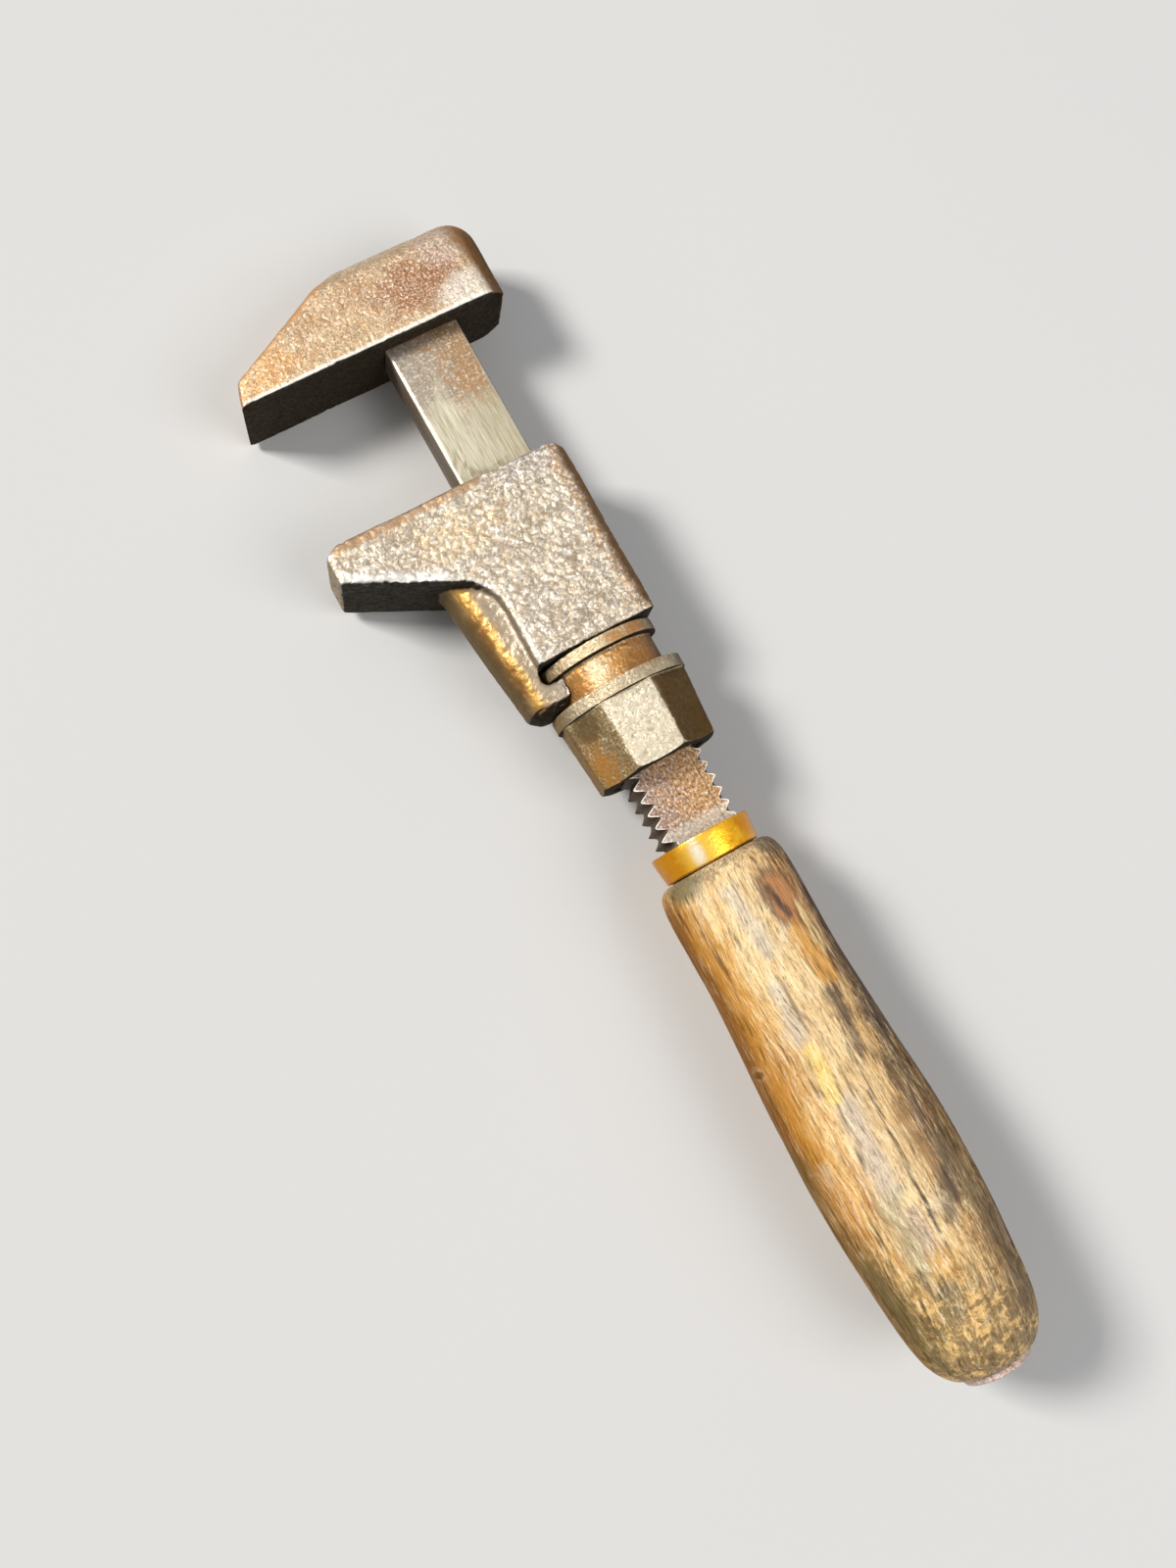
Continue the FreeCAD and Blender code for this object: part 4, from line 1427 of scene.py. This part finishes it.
@dataclass
class Studio:
    """A pale floor, soft lamps and the camera.

    The floor's two rests are a height along the bar and a depth behind it. Its tone rises with the
    distance from the foot of the key lamp, which evens out the lamp's light.
    """

    rest_near: Pair = (-0.082, -0.0144)
    rest_far: Pair = (0.018, -0.0101)
    floor_side: float = 1.6
    floor_rows: int = 24
    floor_shift: float = -0.1
    tones: tuple[Pair, ...] = ((0.0, 0.28), (0.5, 0.60), (1.0, 0.80))
    tone_reach: Pair = (0.15, 2.0)
    surround: tuple[Colour, float] = ((0.92, 0.95, 1.0), 0.27)
    backdrop: tuple[Colour, float] = ((0.80, 0.80, 0.80), 1.0)
    key: Lamp = Lamp("key", (-0.80, 0.62, 1.05), 0.36, 25.0, (1.0, 0.97, 0.92))
    fill: Lamp = Lamp("fill", (0.42, -0.70, 0.95), 0.70, 6.0, (1.0, 0.98, 0.95))
    middle: Point = (0.0, -0.10, 0.0)
    eye: Point = (-0.0701, -0.1249, 0.2991)
    look: Point = (0.1833, 0.0996, -0.9780)
    up: Point = (0.4643, 0.8681, 0.1754)
    sensor: float = 36.0
    focal: float = 36.0

    def floor_look(self, g: Graph, at: Term) -> dict[str, Value]:
        """Writes the floor's finish; see Finish.write."""
        away = g.vector("DISTANCE", at, (*self.key.spot[:2], 0.0))
        greys = [(share, (tone, tone, tone)) for share, tone in self.tones]
        colour = g.ramp(g.span(away, *self.tone_reach), greys)
        return {"Base Color": colour, "Roughness": 0.9, "Specular IOR Level": 0.1}

    def floor(self) -> None:
        """Lays the floor under the places that the wrench rests on."""
        slope = (self.rest_far[1] - self.rest_near[1]) / (self.rest_far[0] - self.rest_near[0])
        rows, points, faces = self.floor_rows, [], []
        steps = [self.floor_side * (i / rows - 0.5) for i in range(rows + 1)]
        for x in steps:
            for y in (step + self.floor_shift for step in steps):
                points.append((x, y, self.rest_near[1] + slope * (y - self.rest_near[0])))
        for first in range(0, rows * (rows + 1), rows + 1):
            faces += [(a, a + rows + 1, a + rows + 2, a + 1) for a in range(first, first + rows)]
        mesh = bpy.data.meshes.new("floor")
        mesh.from_pydata(points, [], faces)
        place(mesh, "floor", painted("pale_floor", self.floor_look))

    def world(self) -> None:
        """Sets an even, pale surround; the camera, mirrors and glass see a backdrop instead."""
        world = bpy.data.worlds.new("surround")
        bpy.context.scene.world = world
        world.use_nodes = True
        g = Graph(world.node_tree)
        kinds = ("Camera", "Glossy", "Transmission")
        camera, glossy, clear = (g.read("ShaderNodeLightPath", f"Is {kind} Ray") for kind in kinds)
        share = g.math("MAXIMUM", g.math("MAXIMUM", camera, glossy), clear)
        looks = (g.read("ShaderNodeBackground", 0, *look) for look in (self.surround, self.backdrop))
        g.node("ShaderNodeOutputWorld", {0: g.read("ShaderNodeMixShader", 0, share, *looks)})

    def camera(self) -> None:
        """Sets the camera where the wrench is seen from above its handle side."""
        data = bpy.data.cameras.new("camera")
        data.sensor_fit, data.sensor_height, data.lens = "VERTICAL", self.sensor, self.focal
        data.clip_start, data.clip_end = 0.01, 20.0
        back = -Vector(self.look).normalized()
        right = Vector(self.up).cross(back).normalized()
        made = show(bpy.data.objects.new("camera", data))
        turned = Matrix((right, back.cross(right), back)).transposed().to_4x4()
        made.matrix_world = Matrix.Translation(self.eye) @ turned
        bpy.context.scene.camera = made

    def build(self) -> None:
        """Sets up the floor, the surround, the lamps and the camera."""
        self.floor()
        self.world()
        self.key.hang(self.middle)
        self.fill.hang(self.middle)
        self.camera()
        bpy.context.scene.view_settings.view_transform = "Standard"


# Painted shade on the faces that look down the bar, to the right, to the right and a little back, and to the
# left.
UNDER = PaintedFacing((0.0, -1.0, 0.0), (0.009, 0.007, 0.004), 1.0, (0.30, 0.70))
RIGHT = PaintedFacing((1.0, 0.0, 0.0), (0.045, 0.026, 0.013), 0.9, (0.55, 0.95))
EDGE = PaintedFacing((0.95, 0.0, -0.1), (0.17, 0.080, 0.022), 0.85, (0.12, 0.55))
LEFT = PaintedFacing((-1.0, 0.0, 0.0), (0.11, 0.068, 0.022), 0.7, (0.6, 0.95))
HEAD_STEEL = ForgedSteel(
    name="head_steel",
    middle=(0.40, 0.255, 0.125),
    light=(0.61, 0.46, 0.29),
    bright=(0.92, 0.87, 0.76),
    relief=0.4,
    under=(
        StainOrPaintedLight((3.2, 8.6, 10), (9, 5.6, 4), (0.3, 0.115, 0.045), 0.98, 0.35),
        StainOrPaintedLight((-7.5, 12, 10), (7, 3.4, 4), (0.38, 0.22, 0.11), 0.6),
        StainOrPaintedLight((-22, 10.4, 10), (6.5, 3.6, 4), (0.36, 0.22, 0.11), 0.6),
        StainOrPaintedLight((-15, 4.8, 10), (6, 2.4, 4), (0.42, 0.27, 0.13), 0.5),
        StainOrPaintedLight((-29.5, 3.6, 10), (5.5, 2.2, 4), (0.44, 0.23, 0.09), 0.6),
        StainOrPaintedLight((-33.7, 5, 10), (8, 6, 5), (0.66, 0.36, 0.13), 0.7),
        StainOrPaintedLight((11.8, 14, 10), (6, 4.2, 3), (0.5, 0.4, 0.34), 0.7),
        # Pale steel near the lower right and along the lower edge: worn bright, with a painted highlight.
        StainOrPaintedLight((12.5, 3.4, 10), (6.5, 3.2, 3), (0.9, 0.85, 0.76), 0.75),
        Streak((-38, 0.1, 10), (16.5, 0.1, 10), 1, (0.95, 0.92, 0.84), 1, 0.3, 0.35),
    ),
    over=(
        Streak((-10, 18.6, 9.8), (10, 18.8, 9.8), 1.3, (0.38, 0.21, 0.1)),
        Streak((-36, 6.8, 9.6), (-11, 18.6, 9.6), 1.3, (0.5, 0.25, 0.09)),
        Streak((-38.6, 4.4, 8.5), (-38.2, 1, 8.5), 1.5, (0.3, 0.12, 0.04), 0.75),
        # The right end: dark brown, then near black towards its foot as painted shade.
        Streak((16.6, 16.8, 8.4), (18.6, 5, 7.6), 2.9, (0.25, 0.11, 0.022), 0.95, 0.7),
        Streak((19, 12, 4), (19, 0.5, 5), 3.4, (0.055, 0.042, 0.022), 0.95, 0.6),
    ),
    painted_facings=(UNDER, EDGE, RIGHT),
)
JAW_STEEL = ForgedSteel(
    name="jaw_steel",
    dark=(0.15, 0.095, 0.055),
    middle=(0.40, 0.32, 0.215),
    light=(0.66, 0.58, 0.455),
    bright=(1.0, 0.98, 0.95),
    rust=(0.50, 0.30, 0.13),
    rust_share=0.35,
    dark_share=0.85,
    bright_share=0.9,
    grain=1150.0,
    relief=0.85,
    rough=(0.24, 0.45),
    under=(
        StainOrPaintedLight((-14, -41, 10), (8, 4, 3), (0.74, 0.52, 0.25), 0.6),
        StainOrPaintedLight((6, -34, 10), (8, 3.2, 3), (0.5, 0.46, 0.43), 0.65),
        Streak((11.6, -34, 9.8), (11.9, -69, 9.8), 2.6, (0.46, 0.25, 0.09), 0.7),
        # Pale streaks along the arm's lower edge and down beside the leg: worn bright steel with a painted
        # highlight.
        Streak((-37, -40.6, 10), (-22, -47.9, 10), 2, (0.98, 0.97, 0.93), 0.95, 0.6, 0.6),
        Streak((-22, -47.9, 10), (-15, -53.6, 10), 1.8, (0.97, 0.95, 0.88), 0.9, 0.6, 0.6),
        Streak((-14.5, -54, 10), (-13, -70, 10), 1.6, (0.92, 0.88, 0.75), 0.9, 0.6, 0.6),
    ),
    over=(
        Streak((-36, -33.2, 10), (-6, -32.8, 10), 1.3, (0.46, 0.26, 0.12), 0.7),
        # The right edge painted near black as shade.
        Streak((13.1, -35, 9.3), (13.1, -69, 9.3), 2.1, (0.085, 0.042, 0.015), 1, 0.5, 0.5),
        Streak((-19, -52, 3), (-16.5, -75.5, 3), 6, (0.28, 0.155, 0.042), 0.9, 0.3, 0.3),
        Streak((-15.4, -54, 7), (-13, -77, 7), 2.2, (0.42, 0.35, 0.265), 0.8, 0.5, 1),
        Streak((-19.4, -50, 6.2), (-16.2, -77, 6.2), 1.4, (0.47, 0.26, 0.052), 0.85, 0.8, 1.8),
        Streak((-20.3, -56, 5.2), (-17.6, -74, 5.2), 1.4, (0.2, 0.078, 0.016), 0.8, 0.8, 2.8),
        Streak((-22.4, -50, 1), (-18.6, -79, 1), 4, (0.075, 0.045, 0.014), 0.95, 0.6, 0.8),
    ),
    painted_facings=(UNDER, EDGE, RIGHT, LEFT),
)
NUT_STEEL = ForgedSteel(
    name="nut_steel",
    dark=(0.11, 0.055, 0.02),
    middle=(0.38, 0.24, 0.09),
    light=(0.58, 0.42, 0.20),
    bright=(0.94, 0.88, 0.74),
    rust=(0.50, 0.22, 0.03),
    bright_share=0.5,
    relief=0.5,
    rough=(0.20, 0.45),
    under=(
        StainOrPaintedLight((0, -72.9, 0), (90, 1.5, 90), (0.58, 0.47, 0.31), 0.85, 0.2, 0.2),
        StainOrPaintedLight((5, -72.9, 11.5), (4.5, 1.5, 4), (0.52, 0.26, 0.07), 0.7, 0.4, 0.6),
        StainOrPaintedLight((0, -81.85, 0), (90, 1.6, 90), (0.48, 0.42, 0.3), 0.9, 0.2, 0.2),
        StainOrPaintedLight((0, -77.3, 0), (90, 3, 90), (0.5, 0.21, 0.025), 0.92, 0.2, 0.2),
        # A painted highlight on the neck.
        StainOrPaintedLight((-3.8, -77.3, 10.5), (2.4, 3.2, 3), (0.86, 0.72, 0.48), 0.75),
    ),
    over=(
        StainOrPaintedLight((6.5, -77.3, 9), (4.5, 3.2, 4), (0.27, 0.1, 0.014), 0.65, 0.6, 1.6),
        StainOrPaintedLight((-7.2, -77.3, 8.8), (2.2, 3, 4), (0.34, 0.15, 0.03), 0.75, 0.6, 1.8),
        StainOrPaintedLight((7.2, -72.9, 10.6), (2.6, 1.5, 4), (0.4, 0.17, 0.035), 0.75, 0.5, 1.4),
        StainOrPaintedLight((1.8, -72.9, 12.6), (1.8, 1.2, 3), (0.46, 0.22, 0.055), 0.7, 0.5, 1.4),
        StainOrPaintedLight((-10.8, -93.5, 6.5), (2.6, 4.5, 4), (0.46, 0.185, 0.015), 0.8, 0.6, 1.4),
        StainOrPaintedLight((-10.2, -86, 7.6), (2.4, 2.6, 3), (0.1, 0.065, 0.02)),
        StainOrPaintedLight((10.5, -95, 7.6), (3, 4.5, 4), (0.46, 0.24, 0.04), 0.7),
    ),
    painted_facings=(
        # Painted light on the grip's flats by the way they face: painted shade on the front-left flat, a
        # painted highlight on the front flat, painted shade on the front-right flat; then painted shade on
        # the faces that look left and back.
        PaintedFacing((-0.766, 0.0, 0.643), (0.18, 0.13, 0.045), 0.88, (0.86, 0.94), -83.4, True),
        PaintedFacing((-0.087, 0.0, 0.996), (0.64, 0.58, 0.45), 0.9, (0.88, 0.94), -83.4, True),
        PaintedFacing((0.643, 0.0, 0.766), (0.07, 0.036, 0.008), 0.95, (0.86, 0.94), -83.4),
        PaintedFacing((-0.95, 0.0, -0.3), (0.13, 0.070, 0.018), 0.85, (0.40, 0.85)),
        UNDER,
        RIGHT,
    ),
)
WOOD = OldHardwood(
    name="wood",
    under=(
        # A painted highlight along the top of the handle.
        Streak((-1.5, -124, 13), (-1.5, -196, 14.5), 5, (1, 0.8, 0.46), 0.45, 0.9, 1.6),
        StainOrPaintedLight((0, -119.6, 0), (90, 1.5, 90), (0.4, 0.33, 0.21), 0.6, 0.5, 0.8),
        # Grey streaks along the top: painted sheen.
        Streak((-3.4, -126, 13), (-2, -139, 13.4), 1.5, (0.62, 0.58, 0.52), 0.6, 0.9, 2.4),
        Streak((-4.2, -146, 12.5), (-5.5, -156, 12.5), 1.5, (0.52, 0.5, 0.46), 0.6, 0.9, 2.4),
        Streak((-3.5, -170, 14), (-4.8, -187, 14.3), 2, (0.6, 0.55, 0.5), 0.6, 0.9, 2.4),
        StainOrPaintedLight((9.6, -131, 9.5), (2.6, 6.5, 4), (0.58, 0.25, 0.07), 0.6, 0.6, 2),
        Streak((-12.8, -129, 5.2), (-13.3, -178, 4.2), 3.6, (0.44, 0.19, 0.03), 0.85, 0.8, 1.8),
        Streak((-9.5, -136, 9.5), (-10, -150, 9.5), 2, (0.66, 0.33, 0.06), 0.6, 0.8, 2),
        Streak((-4.6, -159, 13.2), (-5.2, -168, 13.8), 1.4, (1, 0.7, 0.18), 0.75, 0.7, 2.2),
        Streak((-13.9, -178, 5), (-13.4, -184, 5.6), 2.2, (0.2, 0.155, 0.06), 0.6, 0.8, 2),
        StainOrPaintedLight((-12.6, -187, 7.8), (3.2, 8, 5), (0.88, 0.46, 0.15), 0.6, 0.6, 1.8),
        Streak((-13.2, -196, 5), (-12.5, -214, 6.5), 3.6, (0.25, 0.17, 0.055), 0.8, 0.8, 2),
        Streak((-6.4, -190, 13.4), (-5.8, -205, 13.8), 2.8, (0.4, 0.33, 0.2), 0.75, 0.8, 2),
        Streak((-3.4, -193, 14.2), (-2.8, -202, 14.4), 1.6, (0.5, 0.36, 0.28), 0.6, 0.8, 1.8),
        Streak((0.9, -170, 14.4), (-0.6, -198, 14.8), 0.4, (0.05, 0.03, 0.018), 0.8, 0.9, 3),
        StainOrPaintedLight((-2.9, -203.8, 14.5), (2.2, 3.6, 4), (0.76, 0.42, 0.09), 0.8, 0.5, 1.6),
        StainOrPaintedLight((-4.9, -209.6, 14), (3.2, 3.4, 4), (0.25, 0.21, 0.11), 0.9, 0.3, 1),
        StainOrPaintedLight((-9.6, -210.5, 11), (3.4, 3.4, 4), (0.78, 0.5, 0.2), 0.7, 0.6, 2.2),
        StainOrPaintedLight((-7.6, -219, 10), (3, 3, 4), (0.78, 0.5, 0.2), 0.7, 0.6, 2.2),
    ),
    over=(
        StainOrPaintedLight((-9.8, -121.2, 8.6), (4.6, 3, 6), (0.15, 0.125, 0.058), 0.85, 0.5, 0.8),
        StainOrPaintedLight((10, -121.4, 8), (4.4, 3, 6), (0.13, 0.1, 0.055), 0.75, 0.5, 0.8),
        StainOrPaintedLight((5.3, -131.4, 12.6), (3.6, 6.4, 5), (0.13, 0.048, 0.02), 0.8, 0.3, 1.2),
        StainOrPaintedLight((5.8, -131.6, 12.6), (2.6, 5.2, 5), (0.6, 0.26, 0.085), 0.85, 0.3, 1.2),
        Streak((4, -129, 13), (5.2, -135, 12.6), 0.8, (0.04, 0.02, 0.012), 0.9, 0.8, 2),
        StainOrPaintedLight((-13.2, -158.7, 3.4), (1.5, 1.6, 3), (0.74, 0.52, 0.3), 0.8, 0.3, 0.6),
        StainOrPaintedLight((-13.3, -158.9, 3.4), (0.8, 0.8, 3), (0.07, 0.035, 0.015), 0.9, 0.3, 0.6),
        Streak((4.8, -139, 12.8), (6.2, -148, 12.2), 2.1, (0.8, 0.36, 0.035), 0.7, 0.6, 1.6),
        Streak((4.6, -152, 12.8), (3.6, -163, 13.1), 1.5, (0.07, 0.04, 0.024), 0.8, 0.9, 3.2),
        # Painted shade on the right flank.
        Streak((12.6, -135, 5.6), (12.2, -160, 7.4), 3, (0.06, 0.03, 0.012), 0.9, 0.9, 2.6),
        Streak((9.6, -156, 10.6), (10.8, -184, 10.6), 2.4, (0.085, 0.038, 0.013), 0.85, 0.9, 3.2),
        Streak((10.4, -188, 11.8), (9, -218, 9.6), 3.4, (0.11, 0.062, 0.022), 0.8, 0.9, 2.4),
        Streak((4.4, -175, 14.4), (5, -191, 14.8), 1.6, (0.26, 0.125, 0.04), 0.75, 0.9, 3),
        Streak((-11.6, -127, 7), (-12.4, -176, 7.4), 2.6, (0.56, 0.25, 0.035), 0.75, 0.9, 2.4),
        # Painted shade low on the left flank.
        Streak((-13.4, -126, 0.5), (-14.8, -178, 0.5), 4.6, (0.19, 0.07, 0.009), 0.85, 0.9, 1.8),
        Streak((-14.8, -178, 0.2), (-12.8, -214, 1), 4.4, (0.17, 0.095, 0.022), 0.8, 0.9, 2.2),
        Streak((-13, -201, 5.6), (-10, -219, 5.6), 3.6, (0.15, 0.11, 0.042), 0.85, 0.7, 1.6),
        # Painted shade low on the right flank.
        Streak((12.6, -126, 3), (14.2, -205, 3), 5, (0.065, 0.025, 0.007), 0.9, 0.9, 2.8),
        Streak((7.2, -166, 12.9), (7.2, -182, 12.8), 1.7, (0.085, 0.04, 0.016), 0.8, 0.9, 3.2),
        Streak((8.6, -184, 12), (3.6, -196, 14.4), 1.8, (0.12, 0.075, 0.035), 0.8, 0.9, 3),
    ),
)
WASHER_STEEL = ForgedSteel(
    name="washer_steel",
    dark=(0.14, 0.085, 0.065),
    middle=(0.44, 0.31, 0.26),
    light=(0.70, 0.56, 0.49),
)
BRASS = AgedBrass(
    name="brass",
    under=(
        # Painted shade: both flanks of the ferrule deeper orange.
        StainOrPaintedLight((-10.4, -116.5, 4.5), (5.6, 6, 7), (0.6, 0.22, 0.006), 0.8, 0.5, 0.5),
        StainOrPaintedLight((10.4, -116.5, 4.5), (5.6, 6, 7), (0.6, 0.22, 0.006), 0.8, 0.5, 0.5),
        # A painted highlight with a golden halo.
        StainOrPaintedLight((-3.2, -116.6, 9.8), (3.4, 6, 3.6), (1, 0.64, 0.1), 0.75, 0.7, 0.5),
        StainOrPaintedLight((-3.9, -116.8, 9.6), (1.1, 2.2, 2.4), (1, 0.95, 0.78), 0.85, 0.8, 0.8),
    ),
)


def main() -> None:
    """Builds the pieces in order, then the studio."""
    logging.basicConfig(level=logging.INFO, format="%(name)s %(message)s")
    Forging("fixed_jaw", "frame", "head_steel", HEAD_STEEL, seed=1.0).build()
    jaw = Forging("sliding_jaw", "jaw", "jaw_steel", JAW_STEEL, pit=0.2, seed=2.0, passage=(8.22, 4.97))
    jaw.build()
    washer = WASHER_STEEL.material()
    Bar(DrawnSteel("bar_steel").material(), washer).build()
    Nut(NUT_STEEL).build()
    Handle(WOOD.material(), BRASS.material(), washer).build()
    Studio().build()


if __name__ == "__main__":
    main()
